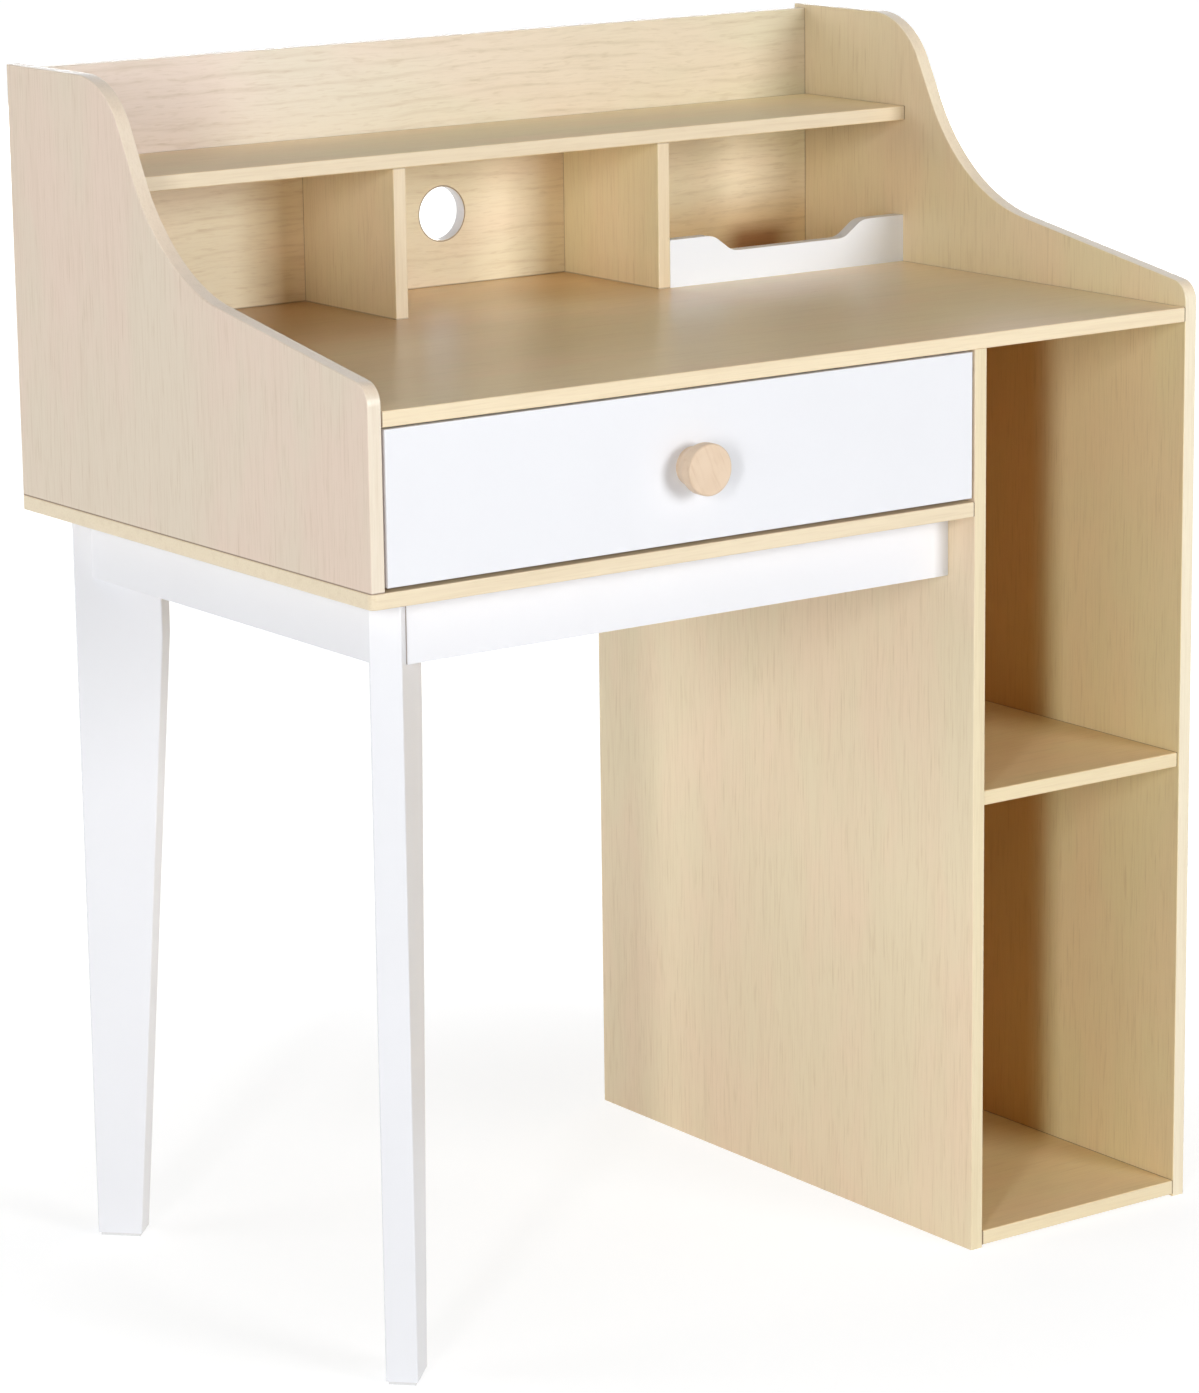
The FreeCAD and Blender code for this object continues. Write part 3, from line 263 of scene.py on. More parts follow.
# The laminate: how the grain moves on from board to board, and how crown-cut and level boards differ
GRAIN_SHIFT = (1.37, 0.83, 2.11)
STRAIGHT_WAVES = 0.5
CROWN_SHORTENING = 2.2
RINGS_PER_METRE = 90.0
RING_SWEEP = 6.0
HALF_RING = 0.5
PORE_SHARE = 0.25
LEVEL_PORE_SHARE = 0.12
LEVEL_RELIEF = 0.15
# The laminate's sheen and relief
BAND_GLOSS = 0.10
FINE_ROUGHNESS = 0.14
PORE_ROUGHNESS = 0.06
FINE_DEPTH = 0.4
PORE_DEPTH = 0.6
BAND_COAT = 0.5
RIM_COAT = 0.4
COAT_ROUGHNESS = 0.22
# The lacquer, the beech, the hardboard, the steel, the nylon and the pads: shades are shares of the ground
# colour, and the values of roughness are its mean and how far each noise changes it
LACQUER_SHIFT = (0.71, 1.93, 0.37)
LACQUER_SHADE = 0.965
CLOUD_ROUGHNESS = 0.10
PEEL_ROUGHNESS = 0.05
KNOB_TURN = (0.0, math.radians(24), math.radians(12))
BEECH_ROUGHNESS = 0.50
HARDBOARD_SHADE = 0.70
HARDBOARD_EDGE = ((0.240, 0.150, 0.080, 1.0), (0.330, 0.215, 0.120, 1.0))
HARDBOARD_ROUGHNESS = 0.62
STEEL_SHADE = 0.82
STEEL_ROUGHNESS = 0.30
STEEL_CLOUD_ROUGHNESS = 0.18
ROLLED_ROUGHNESS = 0.08
NYLON_SHADE = 0.88
NYLON_ROUGHNESS = 0.45
PAD_SHADE = 0.85
PAD_ROUGHNESS = 0.50
SPECK_ROUGHNESS = 0.20
# Edges: points nearer than this in metres are joined, and sharper corners than this are broken in steps
JOIN_DISTANCE = 1e-6
SHARP_ANGLE = math.radians(40)
BREAK_STEPS = 2

# The floor: half its width in metres, its cells along a side, its specks, the colour of its glow, and where
# it is pure white as a multiple of where that starts; nearer the middle the glow is lower, a painted soft
# round shadow under the desk
FLOOR_HALF = 12.0
FLOOR_CELLS = 8
FLOOR_SPECK_SHARE = 0.2
FLOOR_SHADE = 0.97
GLOW_COLOUR = (0.990, 0.995, 1.0, 1.0)
CLEAR_SPREAD = 3.0
WHITE = (1.0, 1.0, 1.0, 1.0)
# Lamps: azimuth from the front towards the right and elevation in degrees, then width and height in metres
LAMPS = {
    "key": (16.5, 11, 3.0, 3.4),
    "slant": (-51, 9, 0.8, 3.6),
    "side": (-70, 3, 4.0, 4.0),
    "far_side": (-115, 9, 4.5, 4.5),
    "top": (0, 85, 4.5, 4.5),
    "rear": (148, 1, 6.0, 0.8),
}
LAMP_TARGET = Vector((0.0, 0.0, 0.6))
# The camera's place in metres, its right, up and back directions, and how far it sees
EYE = (-2.27237, -3.13307, 1.33858)
EYE_RIGHT = (0.81074, -0.58527, -0.01263)
EYE_UP = (0.14171, 0.17528, 0.97427)
EYE_BACK = (-0.56799, -0.79167, 0.22505)
EYE_REACH = 60.0


class Sum:
    """A number that varies over a surface; sums on it add Math nodes to its finish."""

    def __init__(self, finish, link):
        self.finish = finish
        self.link = link

    def math(self, operation, *others):
        """One Math node with this number first."""
        return self.finish.node("ShaderNodeMath", dict(operation=operation), self, *others)

    def __add__(self, other):
        return self.math("ADD", other)

    def __sub__(self, other):
        return self.math("SUBTRACT", other)

    def __mul__(self, other):
        return self.math("MULTIPLY", other)

    def __abs__(self):
        return self.math("ABSOLUTE")

    def __rsub__(self, other):
        return self.finish.node("ShaderNodeMath", dict(operation="SUBTRACT"), other, self)

    __radd__ = __add__
    __rmul__ = __mul__


class Finish:
    """A material being written, node by node."""

    def __init__(self, owner):
        owner.use_nodes = True
        self.owner = owner
        self.tree = owner.node_tree
        self.tree.nodes.clear()

    def node(self, kind, settings=None, *values, output="first", **named):
        """Adds one node: its settings first, then the values or links of its sockets. Gives back the
        first output, or all of them by name."""
        item = self.tree.nodes.new(kind)
        for name, value in (settings or {}).items():
            setattr(item, name, value)
        sockets = [socket for socket in item.inputs if socket.enabled]
        for key, value in (*enumerate(values), *named.items()):
            if isinstance(key, int):
                socket = sockets[key]
            else:
                label = key.replace("_", " ")
                socket = next(found for found in sockets if found.name.lower() == label)
            if isinstance(value, Sum):
                self.tree.links.new(value.link, socket)
            else:
                socket.default_value = value
        shown = {socket.name: Sum(self, socket) for socket in item.outputs if socket.enabled}
        return shown if output == "all" else next(iter(shown.values()), None)

    def parts(self, vector):
        """The three parts of a vector, by axis letter."""
        return self.node("ShaderNodeSeparateXYZ", None, vector, output="all")

    def here(self, place="Object"):
        """The point of the surface, or its facing direction, in the piece's own frame."""
        return self.node("ShaderNodeTexCoord", output="all")[place]

    def moved(self, number, shift):
        """The point of the surface, moved on by a number times a shift."""
        return self.node("ShaderNodeMapping", None, self.here(), location=[number * part for part in shift])

    def seen_directly(self):
        """One for rays from the camera, from reflections and through glass, and nought for others."""
        path = self.node("ShaderNodeLightPath", output="all")
        rays = path["Is Camera Ray"] + path["Is Glossy Ray"] + path["Is Transmission Ray"]
        return rays.math("MINIMUM", 1.0)

    def noise(self, point, scale, detail, roughness):
        """A smooth random value round one half."""
        return self.node("ShaderNodeTexNoise", None, vector=point, scale=scale, detail=detail,
                         roughness=roughness)

    def even(self, point, kind):
        """An even noise of EVEN_NOISES on a point."""
        scale, detail = EVEN_NOISES[kind]
        return self.noise(point, scale, detail, EVEN_ROUGHNESS)

    def grain(self, point, kind, shortening=1.0):
        """A noise of GRAIN_NOISES on a point (across, thin, along) that is squeezed along the grain, so that
        it draws lines: each part times its changes per metre."""
        fine, long, detail, roughness = GRAIN_NOISES[kind]
        across, thin, along = point
        along = along * (long * shortening)
        squeezed = self.node("ShaderNodeCombineXYZ", None, across * fine, thin * fine, along)
        return self.noise(squeezed, 1.0, detail, roughness)

    def step(self, value, low, high):
        """Rises smoothly from nought at low to one at high."""
        smooth = dict(interpolation_type="SMOOTHSTEP")
        return self.node("ShaderNodeMapRange", smooth, value, low, high, 0.0, 1.0)

    def mark(self, value, kind):
        """A smooth step of a noise, as strong as NOISE_MARKS says."""
        low, high, share = NOISE_MARKS[kind]
        return self.step(value, low, high) * share

    def mix(self, share, first, second, blend="MIX"):
        """A mix of two colours by a share."""
        settings = dict(data_type="RGBA", blend_type=blend, clamp_factor=True)
        return self.node("ShaderNodeMix", settings, share, first, second)

    def bump(self, height, kind, share=1.0):
        """The surface's direction, tilted by a height as BUMPS says."""
        strength, distance = BUMPS[kind]
        return self.node("ShaderNodeBump", None, strength=strength * share, distance=distance, height=height)

    def close(self, **sockets):
        """Ends the material with a Principled shader."""
        shader = self.node("ShaderNodeBsdfPrincipled", None, **sockets)
        self.node("ShaderNodeOutputMaterial", None, shader)
        return self.owner


def new_finish(name):
    """An empty material to write."""
    return Finish(bpy.data.materials.new(name))


def solid(colour):
    """A colour property as the four numbers a socket takes."""
    return (*colour, 1.0)


def toned(colour, tone):
    """A colour times a tone, part by part."""
    return solid([part * share for part, share in zip(colour, tone)])


def dimmed(colour, share):
    """A colour times one share."""
    return solid([part * share for part in colour])


def wear(node, material):
    """Gives a piece its finish in place of the plain one it came with."""
    NODES[node].data.materials.clear()
    NODES[node].data.materials.append(material)


def soften(node, width):
    """Joins a piece's loose faces and breaks its sharp edges by a small width."""
    piece = NODES[node]
    weld = piece.modifiers.new("join", "WELD")
    weld.merge_threshold = JOIN_DISTANCE
    bevel = piece.modifiers.new("break_edges", "BEVEL")
    bevel.limit_method = "ANGLE"
    bevel.angle_limit = SHARP_ANGLE
    bevel.width = width
    bevel.segments = BREAK_STEPS
    normals = piece.modifiers.new("even_shading", "WEIGHTED_NORMAL")
    normals.keep_sharp = True


class DeskWoodSettings(bpy.types.PropertyGroup):
    """Colours and grain of the laminated boards."""

    face: FloatVectorProperty(name="Face", description="Ground colour of the laminate", subtype="COLOR",
                              default=(0.828, 0.702, 0.474), min=0, max=1)
    warm: FloatVectorProperty(name="Warm patches", description="Rosy tint that drifts over the boards",
                              subtype="COLOR", default=(0.860, 0.682, 0.474), min=0, max=1)
    streak: FloatVectorProperty(name="Streaks", description="Colour of the grain lines", subtype="COLOR",
                                default=(0.610, 0.455, 0.270), min=0, max=1)
    band: FloatVectorProperty(name="Edge band", description="Colour of the banded edges", subtype="COLOR",
                              default=(0.845, 0.718, 0.508), min=0, max=1)
    # Painted shade: the band's colour, warmer and a little darker, on the banded edges that face upwards
    rim: FloatVectorProperty(name="Upper rims", description="Colour of the banded edges that face upwards",
                             subtype="COLOR", default=(0.870, 0.690, 0.470), min=0, max=1)
    gap: FloatVectorProperty(name="Joints", description="Colour in the gaps where boards meet",
                             subtype="COLOR", default=(0.190, 0.112, 0.058), min=0, max=1)
    roughness: FloatProperty(name="Roughness", description="Sheen of the laminate", default=0.40,
                             min=0, max=1)
    waves: FloatProperty(name="Waves", description="How far the grain wanders across a board", default=0.012,
                         min=0, unit="LENGTH")
    edge_break: FloatProperty(name="Edge break", description="Width of the broken edges", default=0.0006,
                              min=0, unit="LENGTH")


class DeskPaintSettings(bpy.types.PropertyGroup):
    """Colours of the painted and moulded pieces."""

    white: FloatVectorProperty(name="Lacquer", description="White of the painted pieces", subtype="COLOR",
                               default=(0.846, 0.856, 0.892), min=0, max=1)
    roughness: FloatProperty(name="Roughness", description="Sheen of the lacquer", default=0.36,
                             min=0, max=1)
    edge_break: FloatProperty(name="Edge break", description="Width of the broken edges", default=0.0008,
                              min=0, unit="LENGTH")
    nylon: FloatVectorProperty(name="Nylon", description="Colour of the rollers", subtype="COLOR",
                               default=(0.830, 0.820, 0.780), min=0, max=1)
    pad: FloatVectorProperty(name="Foot pads", description="Colour of the foot pads", subtype="COLOR",
                             default=(0.780, 0.780, 0.780), min=0, max=1)


class DeskHardwareSettings(bpy.types.PropertyGroup):
    """Colours of the knob, the hardboard and the steel."""

    beech: FloatVectorProperty(name="Beech", description="Ground colour of the knob", subtype="COLOR",
                               default=(0.770, 0.600, 0.440), min=0, max=1)
    fleck: FloatVectorProperty(name="Flecks", description="Colour of the knob's flecks", subtype="COLOR",
                               default=(0.560, 0.360, 0.215), min=0, max=1)
    hardboard: FloatVectorProperty(name="Hardboard", description="Ground colour of the thin boards",
                                   subtype="COLOR", default=(0.470, 0.325, 0.175), min=0, max=1)
    steel: FloatVectorProperty(name="Steel", description="Colour of the zinc plated steel", subtype="COLOR",
                               default=(0.620, 0.630, 0.640), min=0, max=1)


class DeskStageSettings(bpy.types.PropertyGroup):
    """Floor, lamps and camera."""

    floor: FloatVectorProperty(name="Floor", description="Colour of the floor", subtype="COLOR",
                               default=(0.86, 0.86, 0.86), min=0, max=1)
    key: FloatProperty(name="Key lamp", description="Power of the large lamp at the front", default=468.0,
                       min=0, unit="POWER")
    slant: FloatProperty(name="Slant lamp", description="Power of the narrow lamp at the front left",
                         default=290.0, min=0, unit="POWER")
    side: FloatProperty(name="Side lamp", description="Power of the large lamp at the left", default=85.0,
                        min=0, unit="POWER")
    far_side: FloatProperty(name="Far side lamp", description="Power of the lamp behind on the left",
                            default=285.0, min=0, unit="POWER")
    top: FloatProperty(name="Top lamp", description="Power of the lamp overhead", default=115.0,
                       min=0, unit="POWER")
    rear: FloatProperty(name="Rear lamp", description="Power of the lamp behind on the right", default=460.0,
                        min=0, unit="POWER")
    lamp_reach: FloatProperty(name="Lamp distance", description="Distance of every lamp from the desk",
                              default=9.0, min=1, unit="LENGTH")
    # The glow near the desk is lower than the white farther out, and clear is where it starts to rise: a
    # painted soft round shadow under the desk
    glow: FloatProperty(name="Floor glow", description="Light that the floor itself shows near the desk",
                        default=0.785, min=0)
    shadow: FloatProperty(name="Floor shadow", description="Share of the shadows that the floor shows",
                          default=0.45, min=0, max=1)
    clear: FloatProperty(name="Clear floor",
                         description="Distance at which the floor starts to turn pure white",
                         default=0.35, min=0, unit="LENGTH")
    lens: FloatProperty(name="Lens", description="Focal length of the camera", default=125.916, min=1,
                        unit="CAMERA")


def board_point(finish, axes, number):
    """The point in a board's own directions (across, thin, along), moved on for each board so that no two
    boards show the same grain."""
    place = finish.parts(finish.moved(number, GRAIN_SHIFT))
    return place[axes["across"]], place[axes["thin"]], place[axes["along"]]


def band_share(finish, axes):
    """One on a board's edges, which face away from its thin direction, and nought on its faces."""
    facing = finish.parts(finish.here("Normal"))
    return finish.step(abs(facing[axes["thin"]]), *EDGE_FACING)


def joint_lines(finish, node):
    """One along the thin dark gaps where the board's ends meet its neighbours, and nought elsewhere: the
    distance to each end in turn, in the board's own box."""
    low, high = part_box(node)
    place = finish.parts(finish.here())
    lines = 0.0
    for sign, axis in BOARD_JOINTS.get(node, ()):
        corner = high if sign == "+" else low
        away = abs(place[axis] - corner["XYZ".index(axis)])
        lines = finish.step(away, JOINT_GAP, JOINT_CORE * JOINT_GAP).math("MAXIMUM", lines)
    return lines


def shaded(finish, node, colour):
    """The colour of a board with the painted light and shade of BOARD_SHADES: times a tone, as far as the
    product of smooth steps along one axis or more says, on one face only."""
    if node not in BOARD_SHADES:
        return colour
    (sign, axis), *shades = BOARD_SHADES[node]
    place = finish.parts(finish.here())
    facing = finish.parts(finish.here("Normal"))[axis] * (1.0 if sign == "+" else -1.0)
    for tone, *changes in shades:
        share = finish.step(facing, *FACING)
        for mark, start, end in changes:
            way, level = MARKS[mark]
            share = share * finish.step(place[way], level + start, level + end)
        colour = finish.mix(share, colour, solid(tone), "MULTIPLY")
    return colour


def holed(finish, band, colour):
    """The colour of the hutch back with its cable hole lined in white and a thin dark line round the rim: by
    the distance to the hole's axis, the root of the squares across and up."""
    place = finish.parts(finish.here())
    centre = CABLE_HOLE["pos_m"]
    radius = CABLE_HOLE["dims"]["r_mm"] / MILLIMETRES_IN_METRE
    across = place["X"] - centre[0]
    up = place["Z"] - centre[2]
    away = (across * across + up * up).math("SQRT")
    lining = finish.step(away, *(radius + reach for reach in LINING_REACH))
    rim = lining * finish.step(away, *(radius + reach for reach in LINING_RIM))
    white = dimmed(bpy.context.scene.desk_paint.white, LINING_WHITE)
    colour = finish.mix(lining * band, colour, white)
    return finish.mix(rim * LINING_RIM_SHARE, colour, solid(bpy.context.scene.desk_wood.gap))


def laminate(node, axes, number, crown):
    """Maple-effect laminate. The grain is noise squeezed along the board, on a point that a slow noise
    bends: fine lines, short pores and broad streaks. Crown-cut boards have shorter, wavier lines and growth
    rings, the level lines of the distance across the board plus a slow noise. A tint drifts in patches.
    Edges carry a glossier band with a colour of its own, and the joints show as dark gaps. On rims that face
    upwards the band is warmer and a little darker, which is painted shade; the tones of the boards and bands
    are partly painted light and shade, and BOARD_SHADES paints light and shade on as colour."""
    wood = bpy.context.scene.desk_wood
    finish = new_finish("laminate_" + node)
    # The board's tone and its band's tone: partly their own and partly painted light and shade
    tone = BOARD_TONES_AND_PAINTED_LIGHT.get(node, PLAIN_TONE)
    trim = BAND_TONES_AND_PAINTED_LIGHT.get(node, PLAIN_TONE)
    band = band_share(finish, axes)
    # Rims that face upwards, which get a colour of their own: painted shade
    rim = band * finish.step(finish.parts(finish.here("Normal"))["Z"], *RIM_FACING)

    across, thin, along = board_point(finish, axes, number)
    bend = finish.grain((across, thin, along), "crown_bend" if crown else "bend")
    waves = wood.waves if crown else STRAIGHT_WAVES * wood.waves
    point = (across + (bend - NOISE_MEAN) * waves, thin, along)
    shortening = CROWN_SHORTENING if crown else 1.0
    fine = finish.grain(point, "fine", shortening)
    pores = finish.mark(finish.grain(point, "pores", shortening), "pores")
    streaks = finish.grain(point, "streaks", shortening)
    drift = finish.grain(point, "drift")
    dark = finish.mark(fine, "fine") + finish.mark(streaks, "streaks")
    dark = dark + pores * (LEVEL_PORE_SHARE if axes is LEVEL else PORE_SHARE)
    if crown:
        rings = point[0] * RINGS_PER_METRE + finish.grain(point, "sweep") * RING_SWEEP
        rings = rings.math("PINGPONG", HALF_RING) * (1 / HALF_RING)
        dark = dark + finish.mark(rings, "rings") * finish.mark(streaks, "ring_breaks")

    ground = finish.mix(finish.mark(drift, "drift"), toned(wood.face, tone), toned(wood.warm, tone))
    face = finish.mix(dark, ground, toned(wood.streak, tone))
    # The band with painted shade on its upward-facing rims
    edge = finish.mix(rim, toned(wood.band, trim), toned(wood.rim, trim))
    edge_lines = finish.mark(fine, "band_fine") + finish.mark(streaks, "band_streaks")
    edge = finish.mix(edge_lines, edge, toned(wood.streak, trim))
    colour = shaded(finish, node, finish.mix(band, face, edge))
    if node == "hutch_back_panel":
        colour = holed(finish, band, colour)
    lines = joint_lines(finish, node) * FAINT_JOINT_SHARES.get(node, JOINT_SHARE)
    colour = finish.mix(lines, colour, solid(wood.gap))

    relief = LEVEL_RELIEF if axes is LEVEL else 1.0
    roughness = BOARD_ROUGHNESS.get(node, wood.roughness) - band * BAND_GLOSS
    roughness = roughness + (fine - NOISE_MEAN) * (FINE_ROUGHNESS * relief)
    roughness = roughness + pores * (PORE_ROUGHNESS * relief)
    height = fine * -FINE_DEPTH - pores * PORE_DEPTH
    coat = band * BAND_COAT + rim * RIM_COAT
    return finish.close(base_color=colour, roughness=roughness, coat_weight=coat,
                        coat_roughness=COAT_ROUGHNESS, normal=finish.bump(height, "laminate", relief))


def lacquer(node, number):
    """White lacquer: a faint drift of shade, rollered texture in the bump and a little sheen."""
    paint = bpy.context.scene.desk_paint
    finish = new_finish("lacquer_" + node)
    point = finish.moved(number, LACQUER_SHIFT)
    cloud = finish.even(point, "lacquer_cloud")
    peel = finish.even(point, "lacquer_peel")
    # The piece's tone: partly its own and partly painted light, which makes the letter rail whiter and
    # cooler
    white = toned(paint.white, BOARD_TONES_AND_PAINTED_LIGHT.get(node, PLAIN_TONE))
    shade = finish.mix(finish.mark(cloud, "lacquer_cloud"), white, dimmed(white[:3], LACQUER_SHADE))
    if node in BOARD_JOINTS:
        lines = joint_lines(finish, node) * PAINTED_JOINT_SHARE
        shade = finish.mix(lines, shade, solid(bpy.context.scene.desk_wood.gap))
    roughness = paint.roughness + (cloud - NOISE_MEAN) * CLOUD_ROUGHNESS
    roughness = roughness + (peel - NOISE_MEAN) * PEEL_ROUGHNESS
    return finish.close(base_color=shade, roughness=roughness, normal=finish.bump(peel, "lacquer"))


class DESK_OT_laminate(bpy.types.Operator):
    """Lay the maple-effect laminate on every board of the desk and its drawer box"""

    bl_idname = "desk.laminate"
    bl_label = "Laminate boards"

    def execute(self, context):
        groups = ((STRAIGHT_BOARDS, False), (CROWN_BOARDS, True), (DRAWER_BOARDS, False))
        rows = [(node, axes, crown) for boards, crown in groups for node, axes in boards.items()]
        for number, (node, axes, crown) in enumerate(rows, 1):
            wear(node, laminate(node, axes, number, crown))
            soften(node, context.scene.desk_wood.edge_break)
        return {"FINISHED"}


class DESK_OT_lacquer(bpy.types.Operator):
    """Paint the legs, rails, drawer front and letter rail white"""

    bl_idname = "desk.lacquer"
    bl_label = "White pieces"

    def execute(self, context):
        for number, node in enumerate(WHITE_PIECES, 1):
            wear(node, lacquer(node, number))
            soften(node, context.scene.desk_paint.edge_break)
        return {"FINISHED"}


class DESK_OT_knob(bpy.types.Operator):
    """Turn the knob's beech: flecks along a slanting grain"""

    bl_idname = "desk.knob"
    bl_label = "Knob"

    def execute(self, context):
        hardware = context.scene.desk_hardware
        finish = new_finish("turned_beech")
        point = finish.node("ShaderNodeMapping", None, finish.here(), location=-middle("drawer_knob"),
                            rotation=KNOB_TURN)
        place = finish.parts(point)
        flecks = finish.grain((place["X"], place["Y"], place["Z"]), "beech")
        cloud = finish.even(point, "beech_cloud")
        dark = finish.mark(flecks, "beech_flecks") + finish.mark(cloud, "beech_cloud")
        colour = finish.mix(dark, solid(hardware.beech), solid(hardware.fleck))
        roughness = BEECH_ROUGHNESS + (flecks - NOISE_MEAN) * SPECK_ROUGHNESS
        wear("drawer_knob", finish.close(base_color=colour, roughness=roughness,
                                         normal=finish.bump(flecks, "beech")))
        return {"FINISHED"}


class DESK_OT_hardboard(bpy.types.Operator):
    """Finish the thin backs and bottoms in printed hardboard"""

    bl_idname = "desk.hardboard"
    bl_label = "Hardboards"

    def execute(self, context):
        ground = context.scene.desk_hardware.hardboard
        for number, (node, axes) in enumerate(HARDBOARDS.items(), FIRST_HARDBOARD):
            finish = new_finish("hardboard_" + node)
            point = board_point(finish, axes, number)
            lines = finish.mark(finish.grain(point, "hardboard_lines"), "hardboard_lines")
            fibre = finish.grain(point, "fibre")
            face = finish.mix(lines, solid(ground), dimmed(ground, HARDBOARD_SHADE))
            edge = finish.mix(fibre, *HARDBOARD_EDGE)
            colour = finish.mix(band_share(finish, axes), face, edge)
            roughness = HARDBOARD_ROUGHNESS + (fibre - NOISE_MEAN) * SPECK_ROUGHNESS
            wear(node, finish.close(base_color=colour, roughness=roughness,
                                    normal=finish.bump(fibre, "hardboard")))
        return {"FINISHED"}


class DESK_OT_runners(bpy.types.Operator):
    """Zinc plate the runners, rivets and screws, and mould the nylon rollers"""

    bl_idname = "desk.runners"
    bl_label = "Runners and rollers"

    def execute(self, context):
        ground = context.scene.desk_hardware.steel
        finish = new_finish("zinc_steel")
        place = finish.parts(finish.here())
        rolled = finish.grain((place["X"], place["Z"], place["Y"]), "rolled")
        cloud = finish.even(finish.here(), "steel_cloud")
        shade = finish.mix(finish.mark(cloud, "steel_cloud"), solid(ground), dimmed(ground, STEEL_SHADE))
        roughness = STEEL_ROUGHNESS + cloud * STEEL_CLOUD_ROUGHNESS + rolled * ROLLED_ROUGHNESS
        steel = finish.close(base_color=shade, metallic=1.0, roughness=roughness,
                             normal=finish.bump(rolled, "steel"))
        for node in STEEL_PIECES:
            wear(node, steel)

        ground = context.scene.desk_paint.nylon
        finish = new_finish("white_nylon")
        cloud = finish.even(finish.here(), "nylon")
        shade = finish.mix(cloud, solid(ground), dimmed(ground, NYLON_SHADE))
        roughness = NYLON_ROUGHNESS + (cloud - NOISE_MEAN) * SPECK_ROUGHNESS
        nylon = finish.close(base_color=shade, roughness=roughness, normal=finish.bump(cloud, "nylon"))
        for node in NYLON_PIECES:
            wear(node, nylon)
        return {"FINISHED"}


class DESK_OT_foot_pads(bpy.types.Operator):
    """Mould the pads under the legs"""

    bl_idname = "desk.foot_pads"
    bl_label = "Foot pads"

    def execute(self, context):
        ground = context.scene.desk_paint.pad
        finish = new_finish("foot_pad_plastic")
        grit = finish.even(finish.here(), "pad_grit")
        shade = finish.mix(grit, solid(ground), dimmed(ground, PAD_SHADE))
        plastic = finish.close(base_color=shade, roughness=PAD_ROUGHNESS + grit * SPECK_ROUGHNESS,
                               normal=finish.bump(grit, "pads"))
        for node in FOOT_PADS:
            wear(node, plastic)
        return {"FINISHED"}


def sheet_mesh(name, corner, first, second, cells):
    """A flat grid: corner + u * first + v * second, with u and v in even steps from nought to one."""
    steps = np.linspace(0, 1, cells + 1)
    u, v = np.meshgrid(steps, steps, indexing="ij")
    points = corner + u[..., None] * np.array(first) + v[..., None] * np.array(second)
    index = np.arange(u.size).reshape(u.shape)
    faces = np.stack([index[:-1, :-1], index[1:, :-1], index[1:, 1:], index[:-1, 1:]], -1).reshape(-1, 4)
    mesh = bpy.data.meshes.new(name)
    mesh.from_pydata(points.reshape(-1, 3).tolist(), [], faces.tolist())
    return mesh


def lamp(name, power, azimuth, elevation, width, height):
    """A soft rectangular lamp that faces the desk, away from its target by the lamps' distance along the
    direction of the two angles."""
    turn = math.radians(azimuth)
    rise = math.radians(elevation)
    away = Vector((math.sin(turn) * math.cos(rise), -math.cos(turn) * math.cos(rise), math.sin(rise)))
    data = bpy.data.lights.new(name, "AREA")
    data.shape = "RECTANGLE"
    data.size = width
    data.size_y = height
    data.energy = power
    item = bpy.data.objects.new(name, data)
    item.location = LAMP_TARGET + away * bpy.context.scene.desk_stage.lamp_reach
    item.rotation_euler = (-away).to_track_quat("-Z", "Y").to_euler()
    item.visible_camera = False
    bpy.context.scene.collection.objects.link(item)


def pale_floor(stage):
    """The floor's finish: matt, and dimmer where it is seen directly, with a glow of its own there that
    rises to white with the distance from the middle, so that only faint shadows show. The lower glow near
    the middle is a painted soft round shadow under the desk, over which the real shadows show faintly."""
    finish = new_finish("pale_floor")
    specks = finish.even(finish.here(), "floor") * FLOOR_SPECK_SHARE
    seen = finish.seen_directly()
    colour = finish.mix(specks, solid(stage.floor), dimmed(stage.floor, FLOOR_SHADE))
    colour = finish.mix(seen, colour, dimmed(stage.floor, stage.shadow))
    matt = finish.node("ShaderNodeBsdfDiffuse", None, color=colour)
    length = dict(operation="LENGTH")
    away = finish.node("ShaderNodeVectorMath", length, finish.here(), output="all")["Value"]
    # Painted shadow: the glow is lower near the middle and fades to white farther out, a soft round shadow
    # under the desk
    painted_shadow_fade = finish.step(away, stage.clear, CLEAR_SPREAD * stage.clear)
    level = stage.glow + painted_shadow_fade * (1.0 - stage.glow)
    glow = finish.node("ShaderNodeEmission", None, GLOW_COLOUR, seen * level)
    both = finish.node("ShaderNodeAddShader", None, matt, glow)
    finish.node("ShaderNodeOutputMaterial", None, both)
    return finish.owner


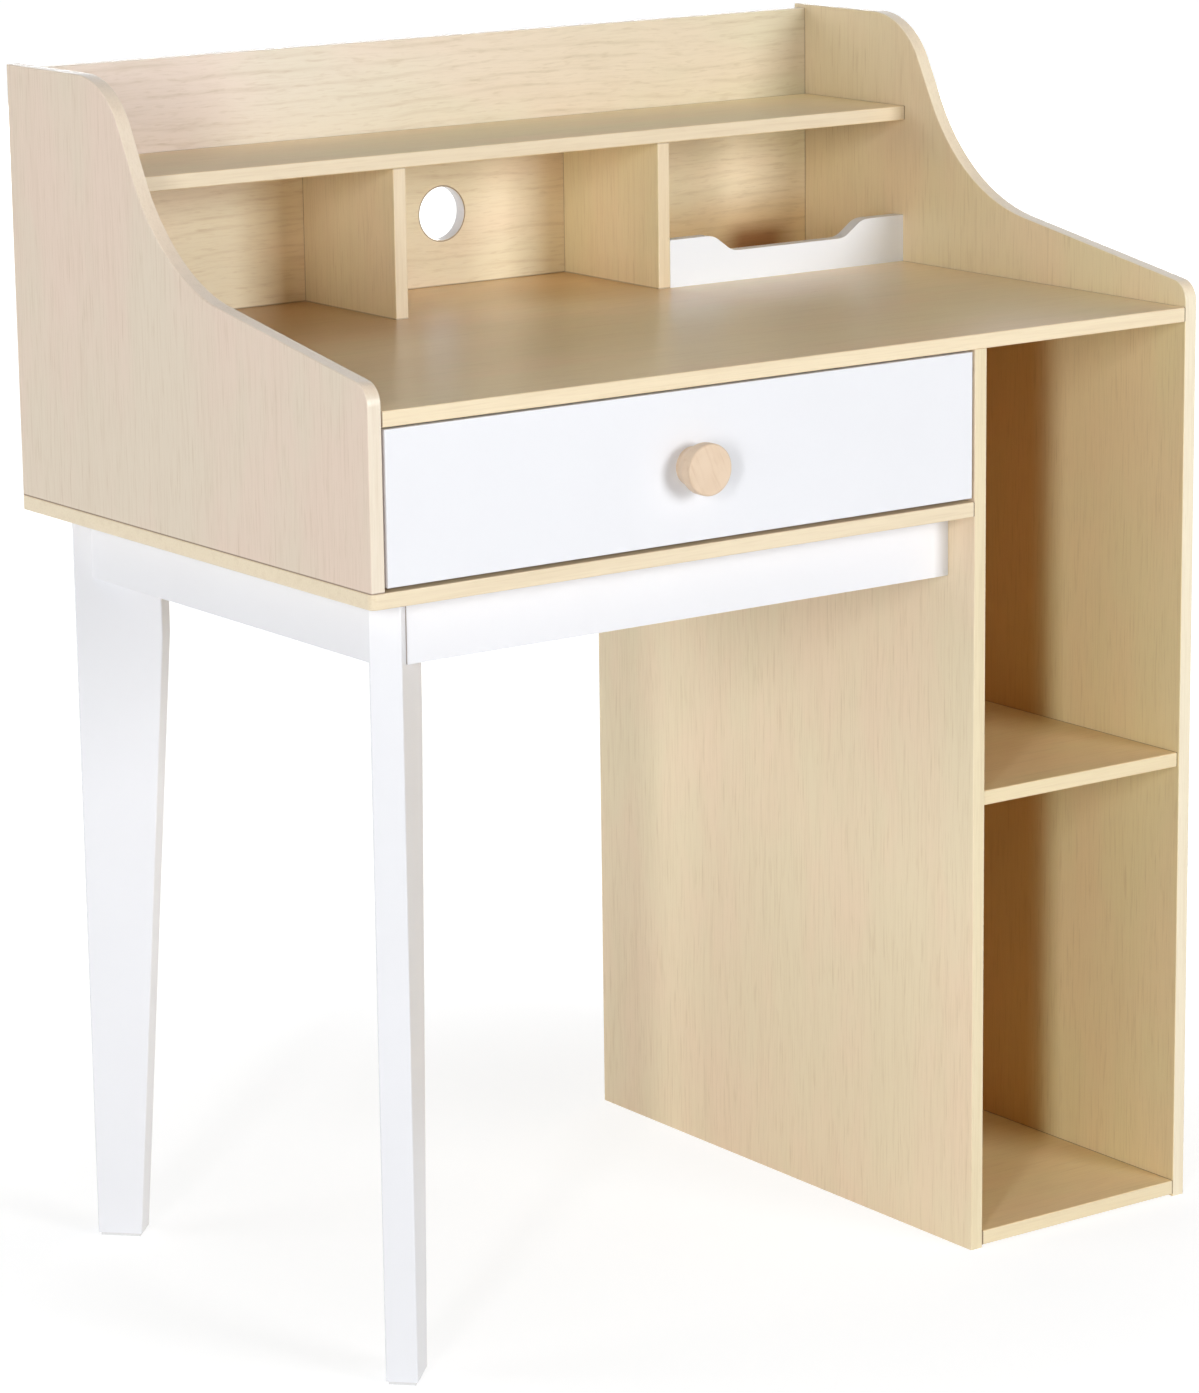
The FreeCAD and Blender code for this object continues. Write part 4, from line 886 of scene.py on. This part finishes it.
class DESK_OT_stage(bpy.types.Operator):
    """Set the pale floor, the soft lamps, the white surround and the camera"""

    bl_idname = "desk.stage"
    bl_label = "Stage"

    def execute(self, context):
        stage = context.scene.desk_stage
        scene = context.scene
        corner = (-FLOOR_HALF, -FLOOR_HALF, 0.0)
        width = 2 * FLOOR_HALF
        mesh = sheet_mesh("floor", corner, (width, 0, 0), (0, width, 0), FLOOR_CELLS)
        floor = bpy.data.objects.new("floor", mesh)
        scene.collection.objects.link(floor)
        floor.data.materials.append(pale_floor(stage))

        scene.world = bpy.data.worlds.new("studio")
        surround = Finish(scene.world)
        back = surround.node("ShaderNodeBackground", None, WHITE, surround.seen_directly())
        surround.node("ShaderNodeOutputWorld", None, back)

        for name, row in LAMPS.items():
            lamp(name, getattr(stage, name), *row)

        data = bpy.data.cameras.new("photo_view")
        data.lens = stage.lens
        data.clip_end = EYE_REACH
        camera = bpy.data.objects.new("photo_view", data)
        rows = [(*row, place) for row, place in zip(zip(EYE_RIGHT, EYE_UP, EYE_BACK), EYE)]
        camera.matrix_world = Matrix((*rows, (0.0, 0.0, 0.0, 1.0)))
        scene.collection.objects.link(camera)
        scene.camera = camera
        scene.view_settings.view_transform = "Standard"
        return {"FINISHED"}


class DESK_PT_finishes(bpy.types.Panel):
    """The desk's finishes and its stage, in the sidebar"""

    bl_idname = "DESK_PT_finishes"
    bl_label = "Study desk"
    bl_space_type = "VIEW_3D"
    bl_region_type = "UI"
    bl_category = "Desk"

    def draw(self, context):
        column = self.layout.column()
        for operator in OPERATORS:
            column.operator(operator.bl_idname)


GROUPS = (DeskWoodSettings, DeskPaintSettings, DeskHardwareSettings, DeskStageSettings)
GROUP_NAMES = ("desk_wood", "desk_paint", "desk_hardware", "desk_stage")
OPERATORS = (DESK_OT_laminate, DESK_OT_lacquer, DESK_OT_knob, DESK_OT_hardboard, DESK_OT_runners,
             DESK_OT_foot_pads, DESK_OT_stage)


def register():
    for item in (*GROUPS, *OPERATORS, DESK_PT_finishes):
        bpy.utils.register_class(item)
    for name, group in zip(GROUP_NAMES, GROUPS):
        setattr(bpy.types.Scene, name, PointerProperty(type=group))


def unregister():
    for name in GROUP_NAMES:
        delattr(bpy.types.Scene, name)
    for item in reversed((*GROUPS, *OPERATORS, DESK_PT_finishes)):
        bpy.utils.unregister_class(item)


def main():
    """Registers the add-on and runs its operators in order."""
    register()
    bpy.ops.desk.laminate()
    bpy.ops.desk.lacquer()
    bpy.ops.desk.knob()
    bpy.ops.desk.hardboard()
    bpy.ops.desk.runners()
    bpy.ops.desk.foot_pads()
    bpy.ops.desk.stage()


if __name__ == "__main__":
    main()
